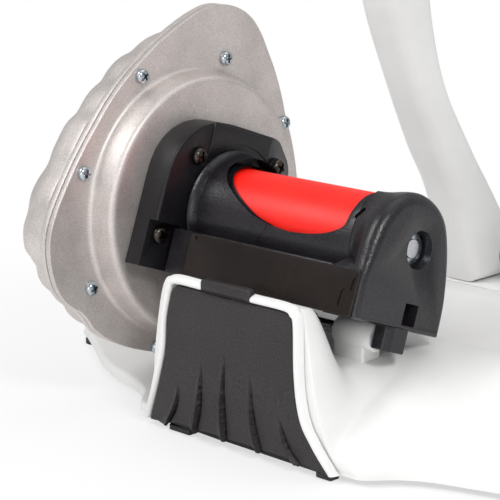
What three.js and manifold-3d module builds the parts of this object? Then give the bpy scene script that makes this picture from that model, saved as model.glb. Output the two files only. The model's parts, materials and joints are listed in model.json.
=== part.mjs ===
// Wheel-on turbo trainer at its real size, in millimetres.
// +Z is up, +Y is the way the bicycle faces and +X is the rider's right.
// The origin is the centre of the rear sole, on the floor in the bicycle wheel's plane.

import * as THREE from 'three';
import { mergeVertices } from 'three/addons/utils/BufferGeometryUtils.js';
import Module from 'manifold-3d';

const wasm = await Module();
wasm.setup();

// Bicycle wheel that the trainer is built around
const wheelRadius = 335;
const contactDegrees = 40;
const cupSpan = 142;

// Roller, whose axis places the whole resistance unit
const rollerRadius = 22.5;
const rollerAxisY = 39;
const rollerAxisZ = 100;
const rollerLeftX = -53;
const rollerRightX = 44;
const rollerFlare = 0.9;
const sleeveWall = 2.6;
const shaftRadius = 5;
const shaftEndRadius = 4.4;

// Resistance unit
const unitTiltDegrees = 19.4;
const unitBottom = 35.9;
const unitHingeY = 26;
const unitHingeZ = 58;
const hingePinRadius = 3;
const hingeKnuckleRadius = 6.9;
const hingeKnuckleInnerX = 25;
const hingeKnuckleOuterX = 49;

// Clearances
const seat = 0.3;
const runningGap = 0.35;
const overrun = 2;

// Cradle that holds the roller
const cradleRadius = 28;
const cradleBore = 24;
const cradleWall = 3;
const seamX = -4.5;
const saddleOutline = [
  [-47.5, 22], [-46.9, 19.1], [-44, 15.3], [-39.6, 11.5], [-33.9, 7.6], [-27.5, 4.7], [-21, 2.4], [-14, 0.2],
  [-8, -1.3], [-1.6, -2.2], [7.7, -2.7], [16, -2.4], [21.5, -1.5], [26, 0.1], [30.4, 2.3], [34.8, 5.2],
  [34.5, 10.7], [35.9, 17.1], [39.4, 21.2], [46, 25], [46, 40], [-47.5, 40],
];
const cradleFrontDepth = 27;
const cradleBackDepth = 35.15;
const collarFlare = 5;
const springSeatP = -12.5;
const bandHeight = 21;

// End cap with the right bearing
const capInnerX = 46;
const capFaceX = 65.2;
const capEdge = 3.2;
const capHoleRadius = 9.6;
const capHoleDepth = 15.4;
const capShoulder = [
  [29.2, -35.9], [28.3, -26.3], [26.9, -15], [24.3, -2], [20.8, 8], [16.4, 15.9], [10.6, 21.3], [4, 24.6],
  [-3, 26.2], [-9, 26], [-15, 24.2], [-21, 20.4], [-26.3, 15], [-30.3, 8], [-32.8, -1], [-34, -9],
];
const capSlotRear = -1;
const capSlotWidth = 9;
const capSlotHeight = 10.4;
const capSlotDepth = 8;
const capSlotRise = 1.4;

// Label plate, bare
const labelLeftX = -46;
const labelRightX = 60.5;
const labelThickness = 1.3;
const labelCorner = 2;

// Hinge lugs of the unit
const lugDrop = 13;
const lugHalfDepth = 8;
const lugChamfer = 3;
const rightLugWidth = 14;
const leftLugWidth = 9.5;
const lugEnd = 2.5;

// Mounting block
const blockFrontX = -59.9;
const blockThickness = 14.9;
const blockRearDepth = 48.2;
const blockFrontDepth = 50.2;
const blockFrontCornerPoints = [[50.2, 24], [47.8, 29.2], [43.7, 33], [36.5, 36.9], [29.7, 40.4], [23, 41.5]];
const blockRearCornerPoints = [
  [-13, 41.7], [-20, 41], [-26, 39.5], [-32.4, 36.6], [-38.1, 32.3], [-42.4, 27.2], [-45.4, 21.6], [-46.4, 15.7],
];
const blockRampDepth = 18;
const blockRimThickness = 2.5;
const blockEdge = 1.5;
const pocketWidth = 22;
const pocketHeight = 22;
const pocketDepth = 7;

// Fluid chamber: cover plate, gasket and finned casting
const plateThickness = 2.6;
const dishRadius = 68.3;
const rimMargin = 11.7;
const plateRadius = dishRadius + rimMargin;
const dishDraft = 2.6;
const dishHeight = 13.2;
const dishFillet = 2.6;
const dishWall = 3;
const sealBore = 12;
const gasketThickness = 0.8;
const gasketInset = 0.8;
const flangeThickness = 3.5;
const domeDepth = 27;
const domeInset = 16;
const domeProfileShares = [[0.1, 0.16], [0.45, 0.22], [0.64, 0.32], [0.82, 0.56], [1, 1]];
const domeTopInset = 6;
const domeTopDegrees = 98;
const domeTopWidthDegrees = 20;
const fluteCount = 24;
const fluteDepth = 2.4;
const chamberWall = 20;
const chamberRadius = plateRadius - chamberWall;
const chamberDepth = 20;
const rimShares = [
  [6, 1.05], [14, 1.012], [24, 0.99], [36, 0.984], [47, 0.995], [53, 1.024], [59, 1.061], [65, 1.104],
  [71, 1.152], [77, 1.216], [83, 1.268], [89, 1.288], [95, 1.282], [100, 1.262], [106, 1.211], [113, 1.15],
  [120, 1.1], [129, 1.05], [135, 1.026], [143, 1.004], [151, 0.989], [161, 0.981], [170, 0.995], [180, 1.031],
  [187, 1.069], [194, 1.119], [200, 1.162], [206, 1.183], [212, 1.188], [218, 1.181], [222.5, 1.16],
  [226.5, 1.124], [230, 1.087], [234, 1.073], [238.5, 1.075], [243.5, 1.064], [251, 1.036], [260, 1.007],
  [268, 0.99], [280, 0.986], [292, 0.987], [303, 0.998], [311, 1.022], [319, 1.063], [327, 1.108],
  [335, 1.136], [343, 1.142], [351, 1.12], [359, 1.085],
];

// Impeller
const impellerGap = 6;
const impellerRadius = chamberRadius - impellerGap;
const impellerDisc = 2.4;
const vaneCount = 10;
const vaneHeight = 11;
const vaneThickness = 2.2;
const vaneTurnDegrees = 24;
const impellerHubRadius = 12;
const impellerClearance = 2;

// Bearings, seal and collar
const bearingWidth = 6.4;
const rightBearingRadius = 9.2;
const leftBearingRadius = 11;
const sealWidth = 2.6;
const collarRadius = 7.6;
const collarWidth = 2;

// Screws
const coverScrewCount = 8;
const coverScrewMargin = 6.9;
const coverScrewCircle = dishRadius + coverScrewMargin;
const coverScrewHead = 3.7;
const coverScrewHeadHeight = 2.8;
const coverScrewShank = 2;
const coverScrewLength = 9;
const blockScrewHead = 4;
const blockScrewHeadHeight = 3.2;
const blockScrewShank = 2.4;
const blockScrewGrip = 5;
const bossRoof = 2;
const blockScrewPlaces = [[-30.5, 22.8], [-41, -19.5], [26.5, 27.5], [44, -19.5]];

// White base
const baseWall = 3;
const skirtGap = 3;
const legReach = 200;
const crownHeight = 51;
const crownRearY = -20;
const crownRidgeY = 69;
const columnHeight = 79;
const columnHalfWidth = 45;
const columnFade = 26;
const lipDepth = 17;
const cradleFloor = 44;
const tongueHeight = 12;
const tongueHalfWidth = 116;
const tongueWaist = 84;
const tongueEndY = 276;
const chamberClearX = -54;
const legTipHeight = 22;
const legTipAdvance = 34;

// Rear foot
const footTopZ = 77;
const footHalfWidthTop = 39;
const footHalfWidthBottom = 61;
const footFlareShares = [0, 0.06, 0.11, 0.19, 0.34, 0.58, 1];
const footBottomZ = 4;
const footCorner = 7;
const borderWidth = 4.4;
const borderDepth = 4;
const footGap = 0.3;
const padDepth = 3;
const ridgeHeight = 2.6;
const ridgeLength = 39;
const ridgeLengthShares = [0.55, 0.82, 1, 0.88, 0.68];
const ridgeFootShares = [-0.93, -0.52, -0.08, 0.36, 0.84];
const ridgeTopShares = [-0.74, -0.44, -0.08, 0.27, 0.62];
const ridgeHalfWidth = 7.5;
const tabHalfWidth = 16.5;
const tabHeight = 5.4;
const tabBridge = 1.2;
const rearSoleHalfWidth = 46;
const rearSoleDepth = 12;
const soleThickness = 2.6;
const rubberFootRadius = 6;

// Front foot
const frontFootDepth = 76;
const frontFootHalfWidth = 196;
const frontFootHeight = 12;
const frontFootCorner = 22;
const frontFootShares = [
  [0.59, 0], [0.65, 0.22], [0.76, 0.42], [0.9, 0.5], [0.97, 0.56], [1, 0.68], [1, 0.86], [0.97, 0.96], [0.92, 1],
];
const earHeight = 40;
const earThickness = 14;
const earX = 62;
const jointScrewX = 30;
const jointScrewHead = 3;
const jointScrewShank = 1.6;
const jointScrewLength = 9;

// Fork: arms that carry the bicycle's axle
const forkHingeY = 310;
const forkHingeZ = 26;
const forkTubeRadius = 9;
const forkTubeWall = 2;
const armInnerX = 90;
const armThickness = 27;
const armEdge = 6;
const armKnuckleRadius = 13.5;
const armBossRadius = 21;
const armHeelBack = 30;
const armRearShares = [
  [-0.152, 0.126], [-0.203, 0.212], [-0.263, 0.331], [-0.323, 0.469],
  [-0.361, 0.629], [-0.340, 0.770], [-0.262, 0.900],
];
const armFrontShares = [
  [-0.160, 0.850], [-0.207, 0.730], [-0.225, 0.600], [-0.218, 0.466],
  [-0.178, 0.328], [-0.105, 0.210], [-0.040, 0.121],
];
const plugThickness = 3;

// Axle clamps
const cupRadius = 13;
const cupLength = 12;
const cupDepth = 8;
const cupMouthRadius = 10;
const cupSeatRadius = 7.5;
const spindleRadius = 6;
const sleeveRadius = 9;
const sleeveFlange = 14;
const sleeveFlangeThickness = 3;
const leverCamRadius = 9;
const leverEccentric = 2.7;
const leverPlay = 0.6;
const leverPinRadius = 3;
const leverWidth = 18;
const leverLength = 78;
const leverThickness = 6;
const bracketWall = 3.5;
const bracketReach = 6;
const knobRadius = 19;
const knobLength = 22;
const knobLobes = 7;
const knobLobeDepth = 1.8;
const knobGap = 10;

// Springs
const springWireRadius = 0.9;
const springTurns = 5.5;
const springClearance = 0.5;
const springHalfLength = 9;
const springLowerLeg = [-13.6, -9.2];
const springUpperLeg = [-11.1, 9.9];

// Colours and finishes
const whitePlastic = { color: 0xf0f0ee, roughness: 0.45, metalness: 0 };
const blackPlastic = { color: 0x2d2b2e, roughness: 0.55, metalness: 0 };
const glossBlack = { color: 0x0c0b0d, roughness: 0.2, metalness: 0 };
const blackRubber = { color: 0x1b1b1c, roughness: 0.9, metalness: 0 };
const redElastomer = { color: 0xf03a2c, roughness: 0.5, metalness: 0 };
const aluminium = { color: 0xb9b4b0, roughness: 0.4, metalness: 1 };
const castAluminium = { color: 0xc6c4c2, roughness: 0.5, metalness: 1 };
const steel = { color: 0xa9abb0, roughness: 0.3, metalness: 1 };
const zincSteel = { color: 0xb4bcc8, roughness: 0.3, metalness: 1 };
const blackSteel = { color: 0x1c1b1e, roughness: 0.5, metalness: 1 };

// Values worked out from the driving dimensions
const degree = Math.PI / 180;
const unitTilt = unitTiltDegrees * degree;
const axleReach = wheelRadius + rollerRadius;
const axleY = rollerAxisY + axleReach * Math.sin(contactDegrees * degree);
const axleZ = rollerAxisZ + axleReach * Math.cos(contactDegrees * degree);
const armOuterX = armInnerX + armThickness;
const plateFrontX = blockFrontX - blockThickness - seat - dishHeight;
const plateBackX = plateFrontX - plateThickness;
const gasketBackX = plateBackX - seat - gasketThickness;
const flangeFrontX = gasketBackX - seat;
const flangeBackX = flangeFrontX - flangeThickness;
const rightBearingX = capFaceX - capHoleDepth;
const hingeOffsetY = unitHingeY - rollerAxisY;
const hingeOffsetZ = unitHingeZ - rollerAxisZ;
const hingeP = hingeOffsetY * Math.cos(unitTilt) - hingeOffsetZ * Math.sin(unitTilt);
const hingeQ = hingeOffsetY * Math.sin(unitTilt) + hingeOffsetZ * Math.cos(unitTilt);
const roundSides = 22;
const smallSides = 10;

// Closed meshes: only positions, shared vertices merged, faces pointing out
function closed(geometry) {
  const bare = geometry.clone();
  for (const name of Object.keys(bare.attributes)) {
    if (name !== 'position') {
      bare.deleteAttribute(name);
    }
  }
  const merged = mergeVertices(bare);
  const place = merged.attributes.position;
  const index = merged.index.array;
  const a = new THREE.Vector3();
  const b = new THREE.Vector3();
  const c = new THREE.Vector3();
  const kept = [];
  let volume = 0;
  for (let i = 0; i < index.length; i += 3) {
    if (index[i] === index[i + 1] || index[i + 1] === index[i + 2] || index[i] === index[i + 2]) {
      continue;
    }
    a.fromBufferAttribute(place, index[i]);
    b.fromBufferAttribute(place, index[i + 1]);
    c.fromBufferAttribute(place, index[i + 2]);
    volume += a.dot(b.cross(c));
    kept.push(index[i], index[i + 1], index[i + 2]);
  }
  if (volume < 0) {
    kept.reverse();
  }
  merged.setIndex(kept);
  return merged;
}

function toSolid(geometry) {
  const whole = closed(geometry);
  const mesh = new wasm.Mesh({
    numProp: 3,
    vertProperties: new Float32Array(whole.attributes.position.array),
    triVerts: new Uint32Array(whole.index.array),
  });
  return new wasm.Manifold(mesh);
}

function toGeometry(solid) {
  const mesh = solid.getMesh();
  const geometry = new THREE.BufferGeometry();
  geometry.setAttribute('position', new THREE.BufferAttribute(mesh.vertProperties, 3));
  geometry.setIndex(new THREE.BufferAttribute(mesh.triVerts, 1));
  return geometry;
}

function joined(...geometries) {
  return toGeometry(geometries.map(toSolid).reduce((whole, next) => whole.add(next)));
}

function cut(geometry, ...tools) {
  return toGeometry(tools.map(toSolid).reduce((whole, tool) => whole.subtract(tool), toSolid(geometry)));
}

function common(geometry, other) {
  return toGeometry(toSolid(geometry).intersect(toSolid(other)));
}

// Shapes drawn in the y-z plane become prisms along x
const alongX = new THREE.Matrix4().makeBasis(
  new THREE.Vector3(0, 1, 0),
  new THREE.Vector3(0, 0, 1),
  new THREE.Vector3(1, 0, 0),
);

function prismX(shape, fromX, toX, curveSegments = 6) {
  const geometry = new THREE.ExtrudeGeometry(shape, { depth: toX - fromX, bevelEnabled: false, curveSegments });
  return geometry.applyMatrix4(alongX).translate(fromX, 0, 0);
}

function bevelledPrismX(shape, fromX, toX, edge, curveSegments = 6, bevelSegments = 2) {
  const geometry = new THREE.ExtrudeGeometry(shape, {
    depth: toX - fromX - 2 * edge,
    bevelEnabled: true,
    bevelThickness: edge,
    bevelSize: edge,
    bevelOffset: -edge,
    bevelSegments,
    curveSegments,
  });
  return geometry.applyMatrix4(alongX).translate(fromX + edge, 0, 0);
}

// Shapes drawn in the x-z plane become prisms along y, and in the x-y plane prisms along z
function prismY(shape, fromY, toY, curveSegments = 6) {
  const geometry = new THREE.ExtrudeGeometry(shape, { depth: toY - fromY, bevelEnabled: false, curveSegments });
  return geometry.rotateX(Math.PI / 2).translate(0, toY, 0);
}

function prismZ(shape, fromZ, toZ, curveSegments = 6) {
  const geometry = new THREE.ExtrudeGeometry(shape, { depth: toZ - fromZ, bevelEnabled: false, curveSegments });
  return geometry.translate(0, 0, fromZ);
}

// A body of revolution about x, from pairs of x and radius
function turnedX(profile, sides = roundSides) {
  const points = profile.map(([x, radius]) => new THREE.Vector2(radius, x));
  return new THREE.LatheGeometry(points, sides).rotateZ(-Math.PI / 2);
}

function ringX(fromX, toX, innerRadius, outerRadius, sides = roundSides) {
  return turnedX([
    [fromX, innerRadius], [fromX, outerRadius], [toX, outerRadius], [toX, innerRadius], [fromX, innerRadius],
  ], sides);
}

function rodX(fromX, toX, radius, y = 0, z = 0, sides = roundSides) {
  const geometry = new THREE.CylinderGeometry(radius, radius, toX - fromX, sides);
  return geometry.rotateZ(-Math.PI / 2).translate((fromX + toX) / 2, y, z);
}

function rodY(fromY, toY, radius, x = 0, z = 0, sides = roundSides) {
  const geometry = new THREE.CylinderGeometry(radius, radius, toY - fromY, sides);
  return geometry.translate(x, (fromY + toY) / 2, z);
}

function rodZ(fromZ, toZ, radius, x = 0, y = 0, sides = roundSides) {
  const geometry = new THREE.CylinderGeometry(radius, radius, toZ - fromZ, sides);
  return geometry.rotateX(Math.PI / 2).translate(x, y, (fromZ + toZ) / 2);
}

function block(lowX, highX, lowY, highY, lowZ, highZ) {
  const geometry = new THREE.BoxGeometry(highX - lowX, highY - lowY, highZ - lowZ);
  return geometry.translate((lowX + highX) / 2, (lowY + highY) / 2, (lowZ + highZ) / 2);
}

function outline(points) {
  return new THREE.Shape(points.map(([u, v]) => new THREE.Vector2(u, v)));
}

function roundedBox(lowU, highU, lowV, highV, corner) {
  const shape = new THREE.Shape();
  shape.moveTo(lowU + corner, lowV);
  shape.lineTo(highU - corner, lowV);
  shape.absarc(highU - corner, lowV + corner, corner, -Math.PI / 2, 0);
  shape.lineTo(highU, highV - corner);
  shape.absarc(highU - corner, highV - corner, corner, 0, Math.PI / 2);
  shape.lineTo(lowU + corner, highV);
  shape.absarc(lowU + corner, highV - corner, corner, Math.PI / 2, Math.PI);
  shape.lineTo(lowU, lowV + corner);
  shape.absarc(lowU + corner, lowV + corner, corner, Math.PI, Math.PI * 1.5);
  return shape;
}

// A skin through rings of equal point counts, closed at both ends
function loft(rings) {
  const count = rings[0].length;
  const positions = rings.flat(2);
  const index = [];
  for (let ring = 0; ring < rings.length - 1; ring += 1) {
    for (let point = 0; point < count; point += 1) {
      const next = (point + 1) % count;
      const a = ring * count + point;
      const b = ring * count + next;
      index.push(a, b, a + count, b, b + count, a + count);
    }
  }
  for (const [ring, turn] of [[0, false], [rings.length - 1, true]]) {
    const face = capTriangles(rings[ring], ring * count);
    index.push(...(turn ? face.reverse() : face));
  }
  const geometry = new THREE.BufferGeometry();
  geometry.setAttribute('position', new THREE.Float32BufferAttribute(positions, 3));
  geometry.setIndex(index);
  return geometry;
}

// The end face of a loft, whose ring lies in a plane of constant x
function capTriangles(ring, first) {
  const flat = ring.map(([, y, z]) => new THREE.Vector2(y, z));
  const clockwise = THREE.ShapeUtils.isClockWise(flat);
  const ordered = clockwise ? [...flat].reverse() : flat;
  const faces = THREE.ShapeUtils.triangulateShape(ordered, []);
  const place = (i) => first + (clockwise ? flat.length - 1 - i : i);
  const out = faces.flatMap(([a, b, c]) => [place(a), place(b), place(c)]);
  return clockwise ? out : out.reverse();
}

const trainer = new THREE.Group();
const unit = new THREE.Group();
unit.position.set(0, rollerAxisY, rollerAxisZ);
unit.rotation.x = -unitTilt;
trainer.add(unit);

function addPiece(parent, name, geometry, finish) {
  const mesh = new THREE.Mesh(closed(geometry), new THREE.MeshStandardMaterial(finish));
  mesh.name = name;
  parent.add(mesh);
}

// Smooth step from 0 to 1 between two places
function fade(value, from, to) {
  const share = Math.min(Math.max((value - from) / (to - from), 0), 1);
  return share * share * (3 - 2 * share);
}

// White base: heights of the crown and legs over the plan
const rearEdgeShares = [
  [0, -1], [0.235, -1], [0.32, -0.94], [0.353, -0.8], [0.385, -0.4], [0.43, 0.12], [0.47, 0.37], [0.51, 0.55],
  [0.58, 0.77], [0.65, 0.98], [0.73, 1.35], [0.865, 2.25], [0.98, 2.95], [1, 3.05],
];

function alongTable(table, share) {
  let row = 1;
  while (row < table.length - 1 && share > table[row][0]) {
    row += 1;
  }
  const [fromShare, from] = table[row - 1];
  const [toShare, to] = table[row];
  return from + (to - from) * (share - fromShare) / (toShare - fromShare);
}

function rearEdgeY(x) {
  return -crownRearY * alongTable(rearEdgeShares, Math.min(Math.abs(x) / legReach, 1));
}

function ridgeY(x) {
  return crownRidgeY + legTipAdvance * fade(Math.abs(x), legReach * 0.5, legReach);
}

function ridgeZ(x) {
  const right = crownHeight + (legTipHeight - crownHeight) * fade(Math.abs(x), legReach * 0.48, legReach);
  const left = fade(x, chamberClearX - columnFade * 0.6, chamberClearX);
  return tongueHeight + (right - tongueHeight) * (x < 0 ? left : 1);
}

// Height of the crown and legs over a place on the floor
function crownTop(x, y) {
  const rear = rearEdgeY(x);
  const share = Math.min(Math.max((y - rear) / (ridgeY(x) - rear), 0), 1);
  const top = ridgeZ(x);
  const low = skirtGap + (tongueHeight - skirtGap) * 0.5;
  const slope = low + (top - low) * Math.sin(share * Math.PI / 2) ** 0.85;
  const column = 1 - fade(Math.abs(x), columnHalfWidth, columnHalfWidth + columnFade);
  const lipShare = 1 - fade(y, crownRearY + lipDepth * 0.6, crownRearY + lipDepth * 2);
  const lip = (columnHeight - cradleFloor) * lipShare;
  const rise = (crownHeight - cradleFloor) * fade(y, unitHingeY, crownRidgeY);
  const centre = cradleFloor + lip + rise;
  return slope + (Math.min(centre, columnHeight) - slope) * column;
}

// The underside keeps the wall's thickness on steep slopes too
function crownCeiling(x, y) {
  const heights = [];
  for (const dx of [-baseWall, 0, baseWall]) {
    for (const dy of [-baseWall, 0, baseWall]) {
      heights.push(crownTop(x + dx, y + dy));
    }
  }
  return Math.min(...heights) - baseWall;
}

function crownRing(x, inset) {
  const rows = 10;
  const rear = rearEdgeY(x);
  const front = ridgeY(x);
  const floor = inset > 0 ? -overrun : skirtGap;
  const ring = [[x, rear + inset, floor]];
  for (let row = 0; row <= rows; row += 1) {
    const y = Math.min(Math.max(rear + row / rows * (front - rear), rear + inset), front - inset);
    ring.push([x, y, inset > 0 ? crownCeiling(x, y) : crownTop(x, y)]);
  }
  ring.push([x, front - inset, floor]);
  return ring;
}

const crownShares = [
  -1, -0.96, -0.86, -0.74, -0.62, -0.52, -0.44, -0.385, -0.345, -0.31, -0.275, -0.235, -0.19, -0.1,
  0, 0.1, 0.19, 0.235, 0.275, 0.31, 0.345, 0.385, 0.44, 0.52, 0.62, 0.74, 0.86, 0.96, 1,
];

function crown(inset) {
  const reach = legReach - inset;
  return loft(crownShares.map((share) => crownRing(Math.min(Math.max(share * legReach, -reach), reach), inset)));
}

// Flat tongue in front of the crown, which carries the front foot
function tongueOutline(inset) {
  const half = tongueHalfWidth - inset;
  const waist = tongueWaist - inset;
  const end = tongueEndY - inset;
  const start = crownRidgeY - baseWall - inset;
  const waistY = (crownRidgeY + tongueEndY) / 2;
  const shape = new THREE.Shape();
  shape.moveTo(-half, start);
  shape.quadraticCurveTo(-waist, start, -waist, waistY);
  shape.quadraticCurveTo(-waist, end - frontFootCorner, -half, end - frontFootCorner);
  shape.lineTo(-half, end);
  shape.lineTo(half, end);
  shape.lineTo(half, end - frontFootCorner);
  shape.quadraticCurveTo(waist, end - frontFootCorner, waist, waistY);
  shape.quadraticCurveTo(waist, start, half, start);
  return shape;
}

// Two screws along Y clamp the end walls of tongue and front foot together
const jointScrewZ = (skirtGap + tongueHeight - baseWall) / 2;

function jointScrewHoles() {
  return [-1, 1].map((side) => rodY(
    tongueEndY - 2 * baseWall, tongueEndY + 2 * baseWall, jointScrewShank + seat,
    side * jointScrewX, jointScrewZ, 8,
  ));
}

function buildBaseShell() {
  const tongue = prismZ(tongueOutline(0), skirtGap, tongueHeight);
  const hollow = prismZ(tongueOutline(baseWall), -overrun, tongueHeight - baseWall);
  const shell = cut(joined(crown(0), tongue), crown(baseWall), hollow);
  const ribs = [];
  for (const side of [-1, 0, 1]) {
    const x = side * tongueWaist * 0.5;
    const half = baseWall / 2;
    ribs.push(block(
      x - half, x + half, crownRidgeY - baseWall, tongueEndY - half, skirtGap, tongueHeight - half,
    ));
  }
  const soleHalf = rearSoleDepth / 2;
  const soleFloor = soleThickness + seat;
  ribs.push(block(-rearSoleHalfWidth, rearSoleHalfWidth, -soleHalf, soleHalf, soleFloor, tongueHeight));
  const ribTop = (cradleFloor + columnHeight) / 2;
  ribs.push(block(-columnHalfWidth, columnHalfWidth, -baseWall / 2, baseWall / 2, soleFloor, ribTop));
  const knuckles = [];
  for (const side of [-1, 1]) {
    const low = Math.min(side * hingeKnuckleInnerX, side * hingeKnuckleOuterX);
    const high = Math.max(side * hingeKnuckleInnerX, side * hingeKnuckleOuterX);
    knuckles.push(rodX(low, high, hingeKnuckleRadius, unitHingeY, unitHingeZ, 20));
    const half = hingeKnuckleRadius * 0.7;
    knuckles.push(block(
      low, high, unitHingeY - half, unitHingeY + half, cradleFloor - baseWall / 2, unitHingeZ,
    ));
  }
  const pinHole = rodX(
    -hingeKnuckleOuterX - overrun, hingeKnuckleOuterX + overrun,
    hingePinRadius + runningGap, unitHingeY, unitHingeZ, smallSides,
  );
  return cut(joined(shell, ...ribs, ...knuckles), pinHole, ...jointScrewHoles());
}
addPiece(trainer, 'base_shell', buildBaseShell(), whitePlastic);

// Rear foot: the flaring outline of pad and border, in the x-z plane
function footHalfWidth(z) {
  const fall = (footTopZ - z) / (footTopZ - footBottomZ) * (footFlareShares.length - 1);
  const row = Math.min(Math.floor(Math.max(fall, 0)), footFlareShares.length - 2);
  const from = footFlareShares[row];
  const share = from + (footFlareShares[row + 1] - from) * (fall - row);
  return footHalfWidthTop + (footHalfWidthBottom - footHalfWidthTop) * share;
}

function footOutline(grow) {
  const top = footTopZ + grow;
  const corner = footCorner + grow;
  const rows = 9;
  const side = [];
  for (let row = 0; row <= rows; row += 1) {
    const z = footBottomZ + (top - corner - footBottomZ) * row / rows;
    side.push([footHalfWidth(z) + grow, z]);
  }
  const last = side[side.length - 1];
  for (const angle of [22.5, 45, 67.5, 90]) {
    const c = Math.cos(angle * degree);
    const s = Math.sin(angle * degree);
    side.push([last[0] - corner * (1 - c), last[1] + corner * s]);
  }
  const mirrored = side.map(([x, z]) => [-x, z]).reverse();
  return [...side, ...mirrored];
}

function buildFootBorder() {
  const outer = prismY(outline(footOutline(borderWidth)), crownRearY - seat - borderDepth, crownRearY - seat);
  const inner = prismY(outline(footOutline(0)), crownRearY - seat - borderDepth - overrun, crownRearY + overrun);
  const below = block(
    -footHalfWidthBottom, footHalfWidthBottom,
    crownRearY - seat - borderDepth - overrun, crownRearY + overrun,
    footBottomZ - overrun, footBottomZ + overrun,
  );
  const tabSlot = block(
    -tabHalfWidth, tabHalfWidth,
    crownRearY - seat - borderDepth - overrun, crownRearY - seat - tabBridge,
    footTopZ - footCorner, footTopZ + borderWidth + overrun,
  );
  return cut(outer, inner, below, tabSlot);
}
addPiece(trainer, 'foot_border', buildFootBorder(), whitePlastic);

// Pad with five ridges that widen towards the floor, as a skin over a grid
function ridgeAt(x, z) {
  let proud = 0;
  for (let ridge = 0; ridge < ridgeLengthShares.length; ridge += 1) {
    const length = ridgeLength * ridgeLengthShares[ridge];
    const along = (z - footBottomZ) / length;
    if (along < 1) {
      const foot = ridgeFootShares[ridge] * footHalfWidthBottom;
      const top = ridgeTopShares[ridge] * footHalfWidthBottom;
      const centre = foot + (top - foot) * along;
      const half = ridgeHalfWidth * (1 - 0.75 * along);
      const across = Math.abs(x - centre) / half;
      proud = Math.max(proud, ridgeHeight * (1 - fade(across, 0.15, 1)) * (1 - fade(along, 0.6, 1)));
    }
  }
  return proud;
}

function buildFootPad() {
  const columns = 30;
  const rows = 9;
  const back = crownRearY - seat;
  const rings = [];
  for (let row = 0; row <= rows; row += 1) {
    const z = footBottomZ + (footTopZ - footGap - footBottomZ) * row / rows;
    const drop = Math.max(z - (footTopZ - footGap - footCorner), 0);
    const corner = footCorner - Math.sqrt(Math.max(footCorner ** 2 - drop ** 2, 0));
    const half = footHalfWidth(z) - footGap - corner;
    const front = [];
    const rear = [];
    for (let column = 0; column <= columns; column += 1) {
      const x = half * (2 * column / columns - 1);
      front.push([x, back - padDepth - ridgeAt(x, z), z]);
      rear.push([x, back, z]);
    }
    rings.push([...front, rear[columns], rear[0]]);
  }
  return stackZ(rings);
}

// A skin through level rings, closed by fans at both ends
function stackZ(rings) {
  const count = rings[0].length;
  const index = [];
  for (let ring = 0; ring < rings.length - 1; ring += 1) {
    for (let point = 0; point < count; point += 1) {
      const next = (point + 1) % count;
      const a = ring * count + point;
      const b = ring * count + next;
      index.push(a, b, a + count, b, b + count, a + count);
    }
  }
  for (const [ring, turn] of [[0, true], [rings.length - 1, false]]) {
    const flat = rings[ring].map(([x, y]) => new THREE.Vector2(x, y));
    const faces = THREE.ShapeUtils.triangulateShape(flat, []).flat().map((i) => i + ring * count);
    index.push(...(turn ? faces.reverse() : faces));
  }
  const geometry = new THREE.BufferGeometry();
  geometry.setAttribute('position', new THREE.Float32BufferAttribute(rings.flat(2), 3));
  geometry.setIndex(index);
  return geometry;
}
addPiece(trainer, 'foot_pad', buildFootPad(), blackRubber);

// Black stop tab on top of the rear foot, which the unit leans on
const tabShape = roundedBox(
  -tabHalfWidth + seat, tabHalfWidth - seat,
  footTopZ + footGap, footTopZ + footGap + tabHeight, labelCorner,
);
const tabBackY = crownRearY - 2 * seat - tabBridge;
addPiece(trainer, 'stop_tab', prismY(tabShape, crownRearY - seat - borderDepth, tabBackY), blackRubber);

// Rubber soles and feet
addPiece(trainer, 'rear_sole', block(
  -rearSoleHalfWidth, rearSoleHalfWidth, -rearSoleDepth / 2, rearSoleDepth / 2, 0, soleThickness,
), blackRubber);

const legPadX = legReach - 1.5 * rubberFootRadius;
const legPadY = rearEdgeY(legPadX) + rubberFootRadius;
const frontPadX = frontFootHalfWidth - 2 * rubberFootRadius;
const frontPadY = tongueEndY + frontFootDepth - 1.5 * rubberFootRadius;
for (const [name, x, y] of [
  ['left_leg_pad', -legPadX, legPadY],
  ['right_leg_pad', legPadX, legPadY],
  ['left_front_pad', -frontPadX, frontPadY],
  ['right_front_pad', frontPadX, frontPadY],
]) {
  addPiece(trainer, name, rodZ(0, skirtGap - seat, rubberFootRadius, x, y, 16), blackRubber);
}

// A round hole that clears a turning rod by the running gap, also at its facets
function boreFor(radius, sides = roundSides) {
  return (radius + runningGap) / Math.cos(Math.PI / sides);
}

// Front foot, a moulded beam with two ears for the fork tube
function frontFootOutline(inset) {
  const near = tongueEndY + seat + inset;
  const depth = frontFootDepth - seat - 2 * inset;
  const half = frontFootHalfWidth - inset;
  const right = frontFootShares.map(([across, along]) => [across * half, near + along * depth]);
  const left = right.map(([x, y]) => [-x, y]).reverse();
  return outline([...right, ...left]);
}

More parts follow.
